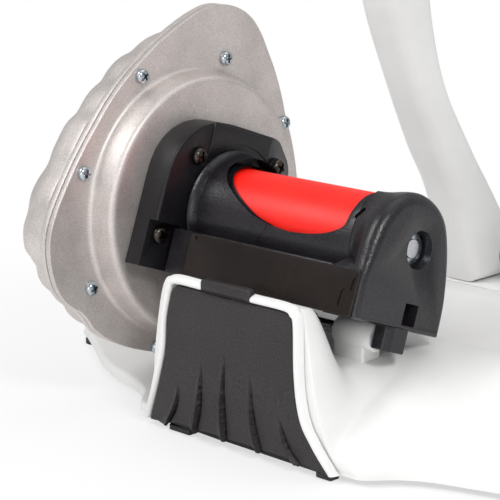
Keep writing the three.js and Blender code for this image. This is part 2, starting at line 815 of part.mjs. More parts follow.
function buildFrontFoot() {
  const beam = prismZ(frontFootOutline(0), skirtGap, frontFootHeight);
  const hollow = prismZ(frontFootOutline(baseWall), -overrun, frontFootHeight - baseWall);
  const earRadius = earHeight - forkHingeZ;
  const ears = [];
  const ribs = [];
  for (const side of [-1, 1]) {
    const low = side * earX - earThickness / 2;
    const high = side * earX + earThickness / 2;
    const ear = new THREE.Shape();
    ear.moveTo(forkHingeY - 2 * earRadius, frontFootHeight - baseWall / 2);
    ear.lineTo(forkHingeY + 2 * earRadius, frontFootHeight - baseWall / 2);
    ear.quadraticCurveTo(forkHingeY + earRadius, frontFootHeight, forkHingeY + earRadius, forkHingeZ);
    ear.absarc(forkHingeY, forkHingeZ, earRadius, 0, Math.PI);
    ear.quadraticCurveTo(
      forkHingeY - earRadius, frontFootHeight, forkHingeY - 2 * earRadius, frontFootHeight - baseWall / 2,
    );
    ears.push(prismX(ear, low, high));
    ribs.push(block(
      side * earX - baseWall / 2, side * earX + baseWall / 2,
      tongueEndY + baseWall / 2, tongueEndY + frontFootDepth - baseWall / 2,
      skirtGap, frontFootHeight - baseWall / 2,
    ));
  }
  const reach = earX + earThickness;
  const tubeHole = rodX(-reach, reach, boreFor(forkTubeRadius), forkHingeY, forkHingeZ);
  return cut(joined(cut(beam, hollow), ...ribs, ...ears), tubeHole, ...jointScrewHoles());
}
addPiece(trainer, 'front_foot', buildFrontFoot(), whitePlastic);

function jointScrew(side) {
  const head = -seat - baseWall;
  const profile = [
    [head - jointScrewHead / 2, 0], [head - jointScrewHead / 2, jointScrewHead], [head, jointScrewHead],
    [head, jointScrewShank], [head + jointScrewLength, jointScrewShank], [head + jointScrewLength, 0],
  ];
  return turnedX(profile, 8).rotateZ(Math.PI / 2).translate(side * jointScrewX, tongueEndY, jointScrewZ);
}
addPiece(trainer, 'left_joint_screw', jointScrew(-1), zincSteel);
addPiece(trainer, 'right_joint_screw', jointScrew(1), zincSteel);

// Fork: tube, plugs and the two crescent arms
const tubeEndX = armOuterX;
addPiece(trainer, 'fork_tube', ringX(
  -tubeEndX, tubeEndX, forkTubeRadius - forkTubeWall, forkTubeRadius,
).translate(0, forkHingeY, forkHingeZ), steel);

function forkPlug(side) {
  const face = tubeEndX + seat;
  const inner = forkTubeRadius - forkTubeWall - seat;
  const plug = turnedX([
    [face - 4 * plugThickness, 0], [face - 4 * plugThickness, inner], [face, inner],
    [face, armKnuckleRadius - 1], [face + plugThickness * 0.6, armKnuckleRadius - 1],
    [face + plugThickness, armKnuckleRadius - 2.4], [face + plugThickness, 0],
  ]);
  return plug.scale(side, 1, 1).translate(0, forkHingeY, forkHingeZ);
}
addPiece(trainer, 'left_fork_plug', forkPlug(-1), blackPlastic);
addPiece(trainer, 'right_fork_plug', forkPlug(1), blackPlastic);

const armRise = axleZ - forkHingeZ;
const armHeelDrop = forkHingeZ - frontFootHeight - 2 * seat;

function armPoint([back, up]) {
  return new THREE.Vector2(forkHingeY + back * armRise, forkHingeZ + up * armRise);
}

// Crescent outline: heel, hollow rear edge, boss round the axle, front edge, knuckle round the fork tube
function armOutline() {
  const shape = new THREE.Shape();
  const heelZ = forkHingeZ - armHeelDrop;
  shape.moveTo(forkHingeY, heelZ);
  shape.lineTo(forkHingeY - armHeelBack, heelZ);
  shape.splineThru(armRearShares.map(armPoint));
  shape.absarc(axleY, axleZ, armBossRadius, 160 * degree, -70 * degree, true);
  shape.splineThru(armFrontShares.map(armPoint));
  const kneeY = forkHingeY + armKnuckleRadius * Math.cos(20 * degree);
  const kneeZ = forkHingeZ + armKnuckleRadius * Math.sin(20 * degree);
  shape.lineTo(kneeY, kneeZ);
  shape.absarc(forkHingeY, forkHingeZ, armKnuckleRadius, 20 * degree, -80 * degree, true);
  return shape;
}

function buildArm(side) {
  const arm = bevelledPrismX(armOutline(), armInnerX, armOuterX, armEdge, 2);
  const tubeHole = rodX(armInnerX - overrun, armOuterX + overrun, forkTubeRadius + seat, forkHingeY, forkHingeZ);
  const sleeveHole = rodX(armInnerX - overrun, armOuterX + overrun, sleeveRadius + seat, axleY, axleZ);
  return cut(arm, tubeHole, sleeveHole).scale(side, 1, 1);
}
addPiece(trainer, 'left_arm', buildArm(-1), whitePlastic);
addPiece(trainer, 'right_arm', buildArm(1), whitePlastic);

// Axle clamps, drawn on the right and mirrored for the left
const cupRimX = cupSpan / 2;
const cupBackX = cupRimX + cupLength;

function buildCup(side) {
  return turnedX([
    [cupRimX, cupMouthRadius], [cupRimX, cupRadius - 1], [cupRimX + 1, cupRadius],
    [cupBackX - 3, cupRadius], [cupBackX, cupRadius - 3], [cupBackX, 0],
    [cupRimX + cupDepth, 0], [cupRimX + cupDepth, cupSeatRadius], [cupRimX, cupMouthRadius],
  ].slice(0, -1).concat([[cupRimX, cupMouthRadius]])).scale(side, 1, 1).translate(0, axleY, axleZ);
}
addPiece(trainer, 'left_axle_cup', buildCup(-1), steel);
addPiece(trainer, 'right_axle_cup', buildCup(1), steel);

const sleeveInnerX = armInnerX - seat;
const rightSleeveEndX = armOuterX + seat + sleeveFlangeThickness;
addPiece(trainer, 'right_sleeve', joined(
  ringX(sleeveInnerX, rightSleeveEndX, boreFor(spindleRadius), sleeveRadius),
  ringX(armOuterX + seat, rightSleeveEndX, boreFor(spindleRadius), sleeveFlange),
).translate(0, axleY, axleZ), steel);
const bracketFaceX = armOuterX + seat + bracketWall;
addPiece(trainer, 'left_sleeve', ringX(
  -bracketFaceX, -sleeveInnerX, boreFor(spindleRadius), sleeveRadius,
).translate(0, axleY, axleZ), steel);

const knobFaceX = rightSleeveEndX + knobGap;
const knobEndX = knobFaceX + knobLength;
addPiece(trainer, 'right_spindle', rodX(
  cupBackX + seat, knobEndX - knobLength / 3, spindleRadius, axleY, axleZ,
), steel);

// Lobed knob that screws the right spindle in and out
function buildKnob() {
  const points = [];
  const steps = knobLobes * 4;
  for (let step = 0; step < steps; step += 1) {
    const angle = step / steps * Math.PI * 2;
    const radius = knobRadius - knobLobeDepth * (0.5 - 0.5 * Math.cos(angle * knobLobes));
    points.push([radius * Math.cos(angle), radius * Math.sin(angle)]);
  }
  const body = bevelledPrismX(outline(points), knobFaceX, knobEndX, knobLobeDepth);
  const hole = rodX(knobFaceX - overrun, knobEndX - knobLength / 3 + seat, spindleRadius + seat);
  return cut(body, hole).translate(0, axleY, axleZ);
}
addPiece(trainer, 'adjuster_knob', buildKnob(), blackPlastic);

// Quick lever on the left: its cam presses the spindle and so the cup towards the wheel
const leverPinX = bracketFaceX + leverCamRadius + leverEccentric + 2 * leverPlay;
const leverSpindleEndX = leverPinX - leverCamRadius - leverEccentric - leverPlay;
addPiece(trainer, 'left_spindle', rodX(
  -leverSpindleEndX, -cupBackX - seat, spindleRadius, axleY, axleZ,
), steel);

function buildLeverBracket() {
  const earInner = leverWidth / 2 + runningGap;
  const earOuter = earInner + bracketWall;
  const foot = ringX(armOuterX + seat, bracketFaceX, sleeveRadius + seat, earOuter + bracketWall);
  const ear = new THREE.Shape();
  ear.moveTo(armOuterX + seat, -leverCamRadius);
  ear.lineTo(leverPinX, -bracketReach);
  ear.absarc(leverPinX, 0, bracketReach, -Math.PI / 2, Math.PI / 2);
  ear.lineTo(armOuterX + seat, leverCamRadius);
  const pinHole = rodY(-earOuter - overrun, earOuter + overrun, leverPinRadius + seat, leverPinX, 0, smallSides);
  const whole = joined(foot, prismY(ear, earInner, earOuter), prismY(ear, -earOuter, -earInner));
  return cut(whole, pinHole).scale(-1, 1, 1).translate(0, axleY, axleZ);
}
addPiece(trainer, 'lever_bracket', buildLeverBracket(), blackSteel);

const leverPinHalf = leverWidth / 2 + runningGap + bracketWall;
addPiece(trainer, 'lever_pin', rodY(
  axleY - leverPinHalf, axleY + leverPinHalf, leverPinRadius, -leverPinX, axleZ, smallSides,
), steel);

function buildLever() {
  const half = leverWidth / 2;
  const cam = rodY(-half, half, leverCamRadius, leverPinX - leverEccentric, 0, 24);
  const grip = new THREE.Shape();
  grip.moveTo(leverPinX - leverEccentric, leverCamRadius);
  grip.quadraticCurveTo(
    leverPinX + leverCamRadius + leverThickness, leverCamRadius,
    leverPinX + leverCamRadius, -leverLength * 0.35,
  );
  grip.quadraticCurveTo(
    leverPinX + leverThickness, -leverLength * 0.7,
    leverPinX + 2 * leverThickness, -leverLength,
  );
  grip.lineTo(leverPinX + leverThickness, -leverLength);
  grip.quadraticCurveTo(
    leverPinX - leverThickness / 2, -leverLength * 0.7,
    leverPinX + leverEccentric, -leverLength * 0.35,
  );
  grip.lineTo(leverPinX - leverEccentric, -leverCamRadius);
  const handle = prismY(grip, -half, half, 5);
  const pinBore = boreFor(leverPinRadius, smallSides);
  const pinHole = rodY(-half - overrun, half + overrun, pinBore, leverPinX, 0, smallSides);
  return cut(joined(cam, handle), pinHole).scale(-1, 1, 1).translate(0, axleY, axleZ);
}
addPiece(trainer, 'quick_lever', buildLever(), blackPlastic);

// Unit hinge: headed pin, clip and torsion spring
const leftLugX = -hingeKnuckleOuterX - 2 * runningGap;
const rightLugX = hingeKnuckleOuterX + 2 * runningGap;
const pinHeadX = leftLugX - leftLugWidth - seat;
const pinTailX = rightLugX + rightLugWidth - lugEnd - seat;
addPiece(trainer, 'hinge_pin', turnedX([
  [pinHeadX - collarWidth, 0], [pinHeadX - collarWidth, hingePinRadius + collarWidth],
  [pinHeadX, hingePinRadius + collarWidth], [pinHeadX, hingePinRadius],
  [pinTailX, hingePinRadius], [pinTailX, 0],
], smallSides).translate(0, unitHingeY, unitHingeZ), steel);
const clipX = -hingeKnuckleInnerX + seat;
addPiece(trainer, 'hinge_clip', ringX(
  clipX, clipX + 0.5 * collarWidth, boreFor(hingePinRadius, smallSides),
  hingePinRadius + collarWidth, smallSides,
).translate(0, unitHingeY, unitHingeZ), blackSteel);

// One unbroken wire: lower leg on the base, turns round the pin, upper leg under the unit
const coilRadius = hingePinRadius + springClearance + springWireRadius;
const coilAngle = springTurns * 2 * Math.PI;

function buildTiltSpring() {
  const points = [new THREE.Vector3(-springHalfLength, springLowerLeg[0], springLowerLeg[1])];
  const steps = Math.round(springTurns * 8);
  for (let step = 0; step <= steps; step += 1) {
    const angle = -Math.PI / 2 + coilAngle * step / steps;
    const x = springHalfLength * (2 * step / steps - 1);
    points.push(new THREE.Vector3(x, coilRadius * Math.cos(angle), coilRadius * Math.sin(angle)));
  }
  points.push(new THREE.Vector3(springHalfLength, springUpperLeg[0], springUpperLeg[1]));
  const section = new THREE.Shape();
  section.absarc(0, 0, springWireRadius, 0, Math.PI * 2);
  const wire = new THREE.ExtrudeGeometry(section, {
    steps: steps + 8,
    curveSegments: 3,
    extrudePath: new THREE.CatmullRomCurve3(points),
  });
  return wire.translate(0, unitHingeY, unitHingeZ);
}
addPiece(trainer, 'tilt_spring', buildTiltSpring(), steel);

// Cradle halves: a tunnel for the roller, open on top, on a hollow foot
function cradleSection() {
  const ledge = -unitBottom + bandHeight - seat;
  const shape = new THREE.Shape();
  shape.moveTo(-cradleBackDepth, -unitBottom);
  shape.lineTo(-cradleBackDepth, ledge);
  const rearAngle = Math.PI + Math.asin(-ledge / cradleRadius);
  const frontAngle = -Math.acos(cradleFrontDepth / cradleRadius);
  shape.lineTo(cradleRadius * Math.cos(rearAngle), ledge);
  shape.absarc(0, 0, cradleRadius, rearAngle, frontAngle, true);
  shape.lineTo(cradleFrontDepth, -unitBottom);
  return shape;
}

function saddleOpening() {
  return prismY(outline(saddleOutline), -cradleBackDepth - overrun, cradleFrontDepth + overrun);
}

function buildCradle(fromX, toX, collarX) {
  const tunnel = prismX(cradleSection(), fromX, toX, 9);
  const bore = rodX(fromX - overrun, toX + overrun, cradleBore);
  const hollow = block(
    fromX + cradleWall, toX - cradleWall, -cradleBackDepth + cradleWall, cradleFrontDepth - cradleWall,
    -unitBottom - overrun, -cradleBore - cradleWall,
  );
  const rib = block(
    fromX + cradleWall / 2, toX - cradleWall / 2, springSeatP - cradleWall / 2, springSeatP + cradleWall / 2,
    -unitBottom, -cradleBore - cradleWall / 2,
  );
  const collar = turnedX([
    [fromX, cradleBore], [fromX, cradleRadius + collarFlare],
    [fromX + collarFlare * 0.3, cradleRadius + collarFlare * 0.5],
    [fromX + collarFlare, cradleRadius - overrun / 2], [fromX + collarFlare, cradleBore], [fromX, cradleBore],
  ]);
  const parts = collarX ? [cut(tunnel, hollow), rib, collar] : [cut(tunnel, hollow), rib];
  return cut(joined(...parts), bore, saddleOpening());
}

// A box on the hinge axis with its four upright edges chamfered
function lug(fromX, toX) {
  const low = hingeP - lugHalfDepth;
  const high = hingeP + lugHalfDepth;
  const shape = outline([
    [fromX + lugChamfer, low], [toX - lugChamfer, low], [toX, low + lugChamfer], [toX, high - lugChamfer],
    [toX - lugChamfer, high], [fromX + lugChamfer, high], [fromX, high - lugChamfer], [fromX, low + lugChamfer],
  ]);
  return prismZ(shape, -unitBottom - lugDrop, -unitBottom + cradleWall);
}

function hingeHole(fromX, toX) {
  return rodX(fromX - overrun, toX + overrun, boreFor(hingePinRadius, smallSides), hingeP, hingeQ, smallSides);
}

const leftCradleX = blockFrontX + seat;
const leftLug = lug(leftLugX - leftLugWidth, leftLugX);
addPiece(unit, 'left_cradle', cut(
  joined(buildCradle(leftCradleX, seamX - seat / 2, true), leftLug),
  hingeHole(leftLugX - leftLugWidth, leftLugX),
), blackPlastic);
addPiece(unit, 'right_cradle', buildCradle(seamX + seat / 2, capInnerX - seat, false), blackPlastic);

// End cap with the bearing seat, the stepped hole, the square slot and the right lug
function capOutline() {
  const rear = [[-cradleBackDepth, -unitBottom + bandHeight - seat], [-cradleBackDepth, -unitBottom]];
  return outline([...capShoulder, ...rear]);
}

function buildEndCap() {
  const inner = capInnerX;
  const body = bevelledPrismX(capOutline(), inner, capFaceX, capEdge, 6, 3);
  const face = capFaceX + overrun;
  const pocket = rodX(capFaceX - capHoleDepth, face, capHoleRadius);
  const shaftHole = rodX(inner - overrun, face, shaftRadius + 2 * seat);
  const slot = block(
    capFaceX - capSlotDepth, face, capSlotRear, capSlotRear + capSlotWidth,
    -unitBottom + capSlotRise, -unitBottom + capSlotRise + capSlotHeight,
  );
  const whole = joined(body, lug(rightLugX, rightLugX + rightLugWidth));
  const pinHole = hingeHole(rightLugX, rightLugX + rightLugWidth - lugEnd - overrun);
  return cut(whole, pocket, shaftHole, slot, pinHole);
}
addPiece(unit, 'end_cap', buildEndCap(), blackPlastic);

// Label plate along the rear of the cradle, with nothing on it
const labelShape = roundedBox(
  labelLeftX, labelRightX, -unitBottom + seat, -unitBottom + bandHeight - 2 * seat, labelCorner,
);
const labelBack = -cradleBackDepth - seat;
addPiece(unit, 'label_plate', prismY(labelShape, labelBack - labelThickness, labelBack, 4), glossBlack);

// Mounting block between the cradle and the chamber
function blockOutline() {
  const front = blockFrontCornerPoints.map(([p, q]) => [p, q]);
  return outline([
    [-blockRearDepth, -unitBottom], [blockFrontDepth, -unitBottom], ...front, ...blockRearCornerPoints,
  ]);
}

const blockBackX = blockFrontX - blockThickness;

// The front face slopes back to a thin rim, and the screws on the slope stand on bosses
function rampCutter() {
  const reach = blockFrontDepth * 2;
  const rimX = blockBackX + blockRimThickness;
  return prismZ(outline([
    [blockFrontX, blockRampDepth], [blockFrontX + reach, blockRampDepth], [blockFrontX + reach, reach],
    [rimX, reach], [rimX, blockFrontDepth],
  ]), -reach, reach);
}

function blockBosses() {
  const onRamp = blockScrewPlaces.filter(([p]) => p > blockRampDepth);
  return onRamp.map(([p, q]) => rodX(
    blockBackX + blockRimThickness / 2, blockFrontX, blockScrewHead + blockEdge / 2, p, q, smallSides,
  ));
}

function buildBlock() {
  const body = bevelledPrismX(blockOutline(), blockBackX - 2 * blockEdge, blockFrontX, blockEdge, 6, 1);
  const reach = blockFrontDepth * 2;
  const cutBack = block(blockBackX - reach, blockBackX, -reach, reach, -reach, reach);
  const pocket = block(
    blockFrontX - pocketDepth, blockFrontX + overrun,
    -blockRearDepth - overrun, -blockRearDepth + pocketWidth,
    -unitBottom - overrun, -unitBottom + pocketHeight,
  );
  const seatBackX = blockFrontX - bearingWidth - 2 * seat;
  const bearingSeat = rodX(seatBackX, blockFrontX + overrun, leftBearingRadius + seat);
  const shaftHole = rodX(blockBackX - overrun, blockFrontX, shaftRadius + 2 * seat);
  const holes = blockScrewPlaces.map(([p, q]) => rodX(
    blockBackX - overrun, blockFrontX + overrun, blockScrewShank + seat, p, q, smallSides,
  ));
  const ramped = joined(cut(body, cutBack, rampCutter()), ...blockBosses());
  return cut(ramped, pocket, bearingSeat, shaftHole, ...holes);
}
addPiece(unit, 'mounting_block', buildBlock(), blackPlastic);

// A screw whose head looks towards +X
function screw(headX, endX, headRadius, headHeight, shankRadius, p, q) {
  return turnedX([
    [endX, 0], [endX, shankRadius], [headX, shankRadius], [headX, headRadius],
    [headX + headHeight * 0.6, headRadius], [headX + headHeight, headRadius * 0.6], [headX + headHeight, 0],
  ], 8).translate(0, p, q);
}

const dishFrontX = plateFrontX + dishHeight;
blockScrewPlaces.forEach(([p, q], i) => {
  const inPocket = p < -blockRearDepth + pocketWidth && q < -unitBottom + pocketHeight;
  const seatX = blockFrontX + seat - (inPocket ? pocketDepth : 0);
  const name = ['rear_block_screw', 'lower_rear_block_screw', 'front_block_screw', 'lower_front_block_screw'][i];
  addPiece(unit, name, screw(
    seatX, dishFrontX - blockScrewGrip, blockScrewHead, blockScrewHeadHeight, blockScrewShank, p, q,
  ), blackSteel);
});

// Rim shared by cover plate, gasket and casing: a circle with three rounded lobes
function rimRadius(degrees) {
  const last = rimShares[rimShares.length - 1];
  const turn = degrees < rimShares[0][0] ? degrees + 360 : degrees;
  const rows = [...rimShares, [rimShares[0][0] + 360, rimShares[0][1]]];
  const after = rows.findIndex(([place]) => place >= turn);
  const before = after > 0 ? rows[after - 1] : last;
  const share = (turn - before[0]) / (rows[after][0] - before[0]);
  return plateRadius * (before[1] + (rows[after][1] - before[1]) * (after > 0 ? share : 1));
}

function rimOutline(inset) {
  return outline(rimShares.map(([degrees, share]) => {
    const radius = plateRadius * share - inset;
    return [radius * Math.cos(degrees * degree), radius * Math.sin(degrees * degree)];
  }));
}

const coverScrewPlaces = [];
for (let i = 0; i < coverScrewCount; i += 1) {
  const angle = Math.PI / 2 + i / coverScrewCount * Math.PI * 2;
  coverScrewPlaces.push([coverScrewCircle * Math.cos(angle), coverScrewCircle * Math.sin(angle)]);
}

function coverScrewHoles(fromX, toX) {
  return coverScrewPlaces.map(([p, q]) => rodX(fromX, toX, coverScrewShank + seat, p, q, 8));
}

// Cover plate with its raised dish, bosses for the block screws and the bore for the seal
function buildCoverPlate() {
  const plate = prismX(rimOutline(0), plateBackX, plateFrontX);
  const dishTop = dishRadius - dishDraft;
  const dish = turnedX([
    [plateBackX, 0], [plateBackX, dishRadius], [plateFrontX, dishRadius + dishFillet],
    [plateFrontX + dishFillet, dishRadius], [dishFrontX - dishFillet, dishTop],
    [dishFrontX - dishFillet * 0.3, dishTop - dishFillet * 0.3],
    [dishFrontX, dishTop - dishFillet], [dishFrontX, 0],
  ], 36);
  const hollow = turnedX([
    [plateBackX - overrun, 0], [plateBackX - overrun, dishRadius - dishWall],
    [plateFrontX, dishRadius - dishWall],
    [dishFrontX - dishWall, dishTop - dishWall], [dishFrontX - dishWall, 0],
  ], 24);
  const bosses = blockScrewPlaces.map(([p, q]) => rodX(
    dishFrontX - blockScrewGrip - bossRoof, dishFrontX - dishWall / 2, blockScrewShank * 2, p, q, smallSides,
  ));
  const bossHoles = blockScrewPlaces.map(([p, q]) => rodX(
    dishFrontX - blockScrewGrip - seat, dishFrontX + overrun, blockScrewShank + seat, p, q, smallSides,
  ));
  const bore = rodX(dishFrontX - dishWall - overrun, dishFrontX + overrun, sealBore);
  const body = joined(cut(joined(plate, dish), hollow), ...bosses);
  return cut(body, bore, ...bossHoles, ...coverScrewHoles(plateBackX - overrun, plateFrontX + overrun));
}
addPiece(unit, 'cover_plate', buildCoverPlate(), aluminium);

const gasketBore = dishRadius - dishWall - seat;
addPiece(unit, 'cover_gasket', cut(
  prismX(rimOutline(gasketInset), gasketBackX, plateBackX - seat),
  rodX(gasketBackX - overrun, plateBackX + overrun, gasketBore, 0, 0, 24),
  ...coverScrewHoles(gasketBackX - overrun, plateBackX + overrun),
), blackRubber);

// Finned casing: flange, fluted dome that follows the rim, and the fluid chamber
function domeRing(x, inset, depth) {
  const ring = [];
  const count = fluteCount * 2;
  for (let i = 0; i < count; i += 1) {
    const degrees = i / count * 360;
    const angle = degrees * degree;
    const valley = 0.5 + 0.5 * Math.cos(angle * fluteCount);
    const top = domeTopInset * Math.exp(-0.5 * ((degrees - domeTopDegrees) / domeTopWidthDegrees) ** 2);
    const r = rimRadius(degrees) - inset - top - depth * valley;
    ring.push([x, r * Math.cos(angle), r * Math.sin(angle)]);
  }
  return ring;
}

function buildCasing() {
  const flange = prismX(rimOutline(0), flangeBackX, flangeFrontX);
  const rings = domeProfileShares.map(([along, inward], i) => domeRing(
    flangeBackX - domeDepth * along, domeInset * inward, i < domeProfileShares.length - 1 ? fluteDepth : 0,
  ));
  rings.unshift(domeRing(flangeBackX + flangeThickness / 2, domeInset * domeProfileShares[0][1], fluteDepth));
  const chamber = rodX(flangeFrontX - chamberDepth, flangeFrontX + overrun, chamberRadius, 0, 0, 24);
  const holes = coverScrewHoles(flangeBackX - fluteDepth, flangeFrontX + overrun);
  return cut(joined(flange, loft(rings)), chamber, ...holes);
}
addPiece(unit, 'finned_casing', buildCasing(), castAluminium);

coverScrewPlaces.forEach(([p, q], i) => {
  const headX = plateFrontX + seat;
  addPiece(unit, `cover_screw_${i + 1}`, screw(
    headX, headX - coverScrewLength, coverScrewHead, coverScrewHeadHeight, coverScrewShank, p, q,
  ), zincSteel);
});

// Bearings and seal
addPiece(unit, 'left_bearing', ringX(
  blockFrontX - bearingWidth - seat, blockFrontX - seat, boreFor(shaftRadius), leftBearingRadius,
), steel);
addPiece(unit, 'right_bearing', ringX(
  rightBearingX + seat, rightBearingX + seat + bearingWidth, boreFor(shaftEndRadius), rightBearingRadius,
), steel);
addPiece(unit, 'shaft_seal', ringX(
  dishFrontX - seat - sealWidth, dishFrontX - seat, boreFor(shaftRadius), sealBore - seat,
), blackRubber);

// Rotor: shaft, roller core and sleeve, collar and impeller
const hubBackX = flangeFrontX - chamberDepth + impellerClearance;
const shaftStepX = rightBearingX - seat;
const shaftEndX = capFaceX - shaftRadius;
addPiece(unit, 'rotor_shaft', turnedX([
  [hubBackX, 0], [hubBackX, shaftRadius], [shaftStepX, shaftRadius],
  [shaftStepX, shaftEndRadius], [shaftEndX, shaftEndRadius], [shaftEndX, 0],
]), steel);
addPiece(unit, 'roller_core', ringX(
  rollerLeftX + 1, rollerRightX - 1, boreFor(shaftRadius) - seat / 4, rollerRadius - sleeveWall - seat,
), blackPlastic);
const sleeveInner = rollerRadius - sleeveWall + seat;
addPiece(unit, 'roller_sleeve', turnedX([
  [rollerLeftX, sleeveInner], [rollerLeftX, rollerRadius + rollerFlare],
  [rollerLeftX + rollerFlare, rollerRadius + rollerFlare * 0.8], [rollerLeftX + 4 * rollerFlare, rollerRadius],
  [rollerRightX - rollerFlare / 2, rollerRadius], [rollerRightX, rollerRadius - rollerFlare / 2],
  [rollerRightX, sleeveInner], [rollerLeftX, sleeveInner],
], 30), redElastomer);
addPiece(unit, 'retaining_collar', ringX(
  shaftEndX - 1.4 * collarWidth, shaftEndX - 0.4 * collarWidth, boreFor(shaftEndRadius) - seat / 4, collarRadius,
), zincSteel);

// A swept vane as a curved band in the p-q plane
function vaneShape(start) {
  const steps = 4;
  const outer = [];
  const inner = [];
  for (let step = 0; step <= steps; step += 1) {
    const share = step / steps;
    const radius = impellerHubRadius * 0.8 + (impellerRadius - impellerHubRadius * 0.8) * share;
    const angle = start + vaneTurnDegrees * degree * share ** 1.5;
    const half = vaneThickness / 2 / radius;
    outer.push([radius * Math.cos(angle + half), radius * Math.sin(angle + half)]);
    inner.push([radius * Math.cos(angle - half), radius * Math.sin(angle - half)]);
  }
  return outline([...outer, ...inner.reverse()]);
}

function buildImpeller() {
  const discFront = hubBackX + impellerDisc * 2;
  const vaneFront = discFront + vaneHeight;
  const parts = [rodX(hubBackX + impellerDisc, discFront, impellerRadius, 0, 0, 30)];
  for (let i = 0; i < vaneCount; i += 1) {
    const start = i / vaneCount * Math.PI * 2;
    parts.push(prismX(vaneShape(start), discFront - impellerDisc / 2, vaneFront));
  }
  parts.push(rodX(hubBackX + impellerDisc, vaneFront + impellerDisc, impellerHubRadius));
  const whole = joined(...parts);
  const bore = boreFor(shaftRadius) - seat / 4;
  return cut(whole, rodX(hubBackX - overrun, vaneFront + impellerDisc + overrun, bore));
}
addPiece(unit, 'impeller', buildImpeller(), castAluminium);

export default trainer;
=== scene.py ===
import json
import math

import bmesh
import bpy
from mathutils import Matrix, Vector


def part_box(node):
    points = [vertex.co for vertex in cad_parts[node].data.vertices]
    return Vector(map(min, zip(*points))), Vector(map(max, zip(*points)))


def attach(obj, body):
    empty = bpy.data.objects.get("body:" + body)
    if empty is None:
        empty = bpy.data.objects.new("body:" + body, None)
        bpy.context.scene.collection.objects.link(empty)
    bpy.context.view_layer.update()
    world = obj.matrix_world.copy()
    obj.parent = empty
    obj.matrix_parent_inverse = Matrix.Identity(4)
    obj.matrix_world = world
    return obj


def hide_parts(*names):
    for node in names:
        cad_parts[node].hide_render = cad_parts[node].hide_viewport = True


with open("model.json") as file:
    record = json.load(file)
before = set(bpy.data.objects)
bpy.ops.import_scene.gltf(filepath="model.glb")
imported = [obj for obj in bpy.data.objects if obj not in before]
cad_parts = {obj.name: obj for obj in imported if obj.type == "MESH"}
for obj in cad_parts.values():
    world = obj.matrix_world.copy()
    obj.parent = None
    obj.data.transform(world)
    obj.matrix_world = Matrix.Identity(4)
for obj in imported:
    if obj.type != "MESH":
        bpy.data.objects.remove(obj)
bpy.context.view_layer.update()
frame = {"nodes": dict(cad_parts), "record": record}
nodes = frame["nodes"]
scene = bpy.context.scene

# Everything below is drawn in millimetres and scaled to metres at the end of each piece.
# UNIT is the tilted frame of the resistance unit, with the roller's axis as its x axis.
MM = 0.001
TILT = math.radians(19.4)
ROLLER = (39, 100)
UNIT = Matrix.Translation((0, *ROLLER)) @ Matrix.Rotation(-TILT, 4, "X")
WORLD = Matrix.Identity(4)
ON_AXIS = 0.001
# Centres seen from the side, as (y, z)
AXLE = (268.79, 373.86)
FORK = (310.0, 26.0)
HINGE = (26.0, 58.0)

# Camera at the photograph's viewing angle
AZIMUTH, ELEVATION, ROLL = math.radians(44.7), math.radians(13.4), math.radians(-0.11)
CAMERA_PLACE = (0.6427, -0.6565, 0.3150)
FOCAL_PIXELS, FRAME_PIXELS, SENSOR_WIDTH = 2009, 500, 36
back = Vector((math.sin(AZIMUTH) * math.cos(ELEVATION), -math.cos(AZIMUTH) * math.cos(ELEVATION),
               math.sin(ELEVATION)))
right = Vector((math.cos(AZIMUTH), math.sin(AZIMUTH), 0))
up = back.cross(right)
right, up = (right * math.cos(ROLL) + up * math.sin(ROLL),
             up * math.cos(ROLL) - right * math.sin(ROLL))
camera_data = bpy.data.cameras.new("camera")
camera_data.sensor_width = SENSOR_WIDTH
camera_data.lens = FOCAL_PIXELS / FRAME_PIXELS * SENSOR_WIDTH
camera = bpy.data.objects.new("camera", camera_data)
scene.collection.objects.link(camera)
axes = Matrix((right, up, back)).transposed().to_4x4()
camera.matrix_world = Matrix.Translation(CAMERA_PLACE) @ axes
scene.camera = camera
scene.view_settings.view_transform = "Standard"


# Material helpers
def new_material(name):
    """A node material, with its tree and its shader."""
    mat = bpy.data.materials.new(name)
    mat.use_nodes = True
    tree = mat.node_tree
    return mat, tree, tree.nodes["Principled BSDF"]


def coords(tree):
    """Object coordinates in millimetres, which ride with the piece."""
    tex = tree.nodes.new("ShaderNodeTexCoord")
    mapping = tree.nodes.new("ShaderNodeMapping")
    mapping.inputs["Scale"].default_value = (1 / MM,) * 3
    tree.links.new(tex.outputs["Object"], mapping.inputs["Vector"])
    return mapping.outputs["Vector"]


def noise(tree, vector, scale, detail=3.0, rough=0.55):
    node = tree.nodes.new("ShaderNodeTexNoise")
    node.inputs["Scale"].default_value = scale
    node.inputs["Detail"].default_value = detail
    node.inputs["Roughness"].default_value = rough
    tree.links.new(vector, node.inputs["Vector"])
    return node.outputs["Fac"]


def linear(value):
    """A screen value from 0 to 255, as the linear value that a shader takes."""
    c = value / 255
    return c / 12.92 if c <= 0.04045 else ((c + 0.055) / 1.055) ** 2.4


def ramp(tree, fac, stops):
    """Maps noise to colours, given as pairs of position and screen colour."""
    node = tree.nodes.new("ShaderNodeValToRGB")
    elements = node.color_ramp.elements
    while len(elements) < len(stops):
        elements.new(0.5)
    for element, (pos, colour) in zip(elements, stops):
        element.position = pos
        element.color = (*map(linear, colour), 1)
    tree.links.new(fac, node.inputs["Fac"])
    return node.outputs["Color"]


def spread(tree, fac, low, high, lo=0.3, hi=0.7):
    """Maps a value, such as noise, from the range lo to hi to the range low to high."""
    node = tree.nodes.new("ShaderNodeMapRange")
    node.inputs["From Min"].default_value = lo
    node.inputs["From Max"].default_value = hi
    node.inputs["To Min"].default_value = low
    node.inputs["To Max"].default_value = high
    tree.links.new(fac, node.inputs["Value"])
    return node.outputs["Result"]


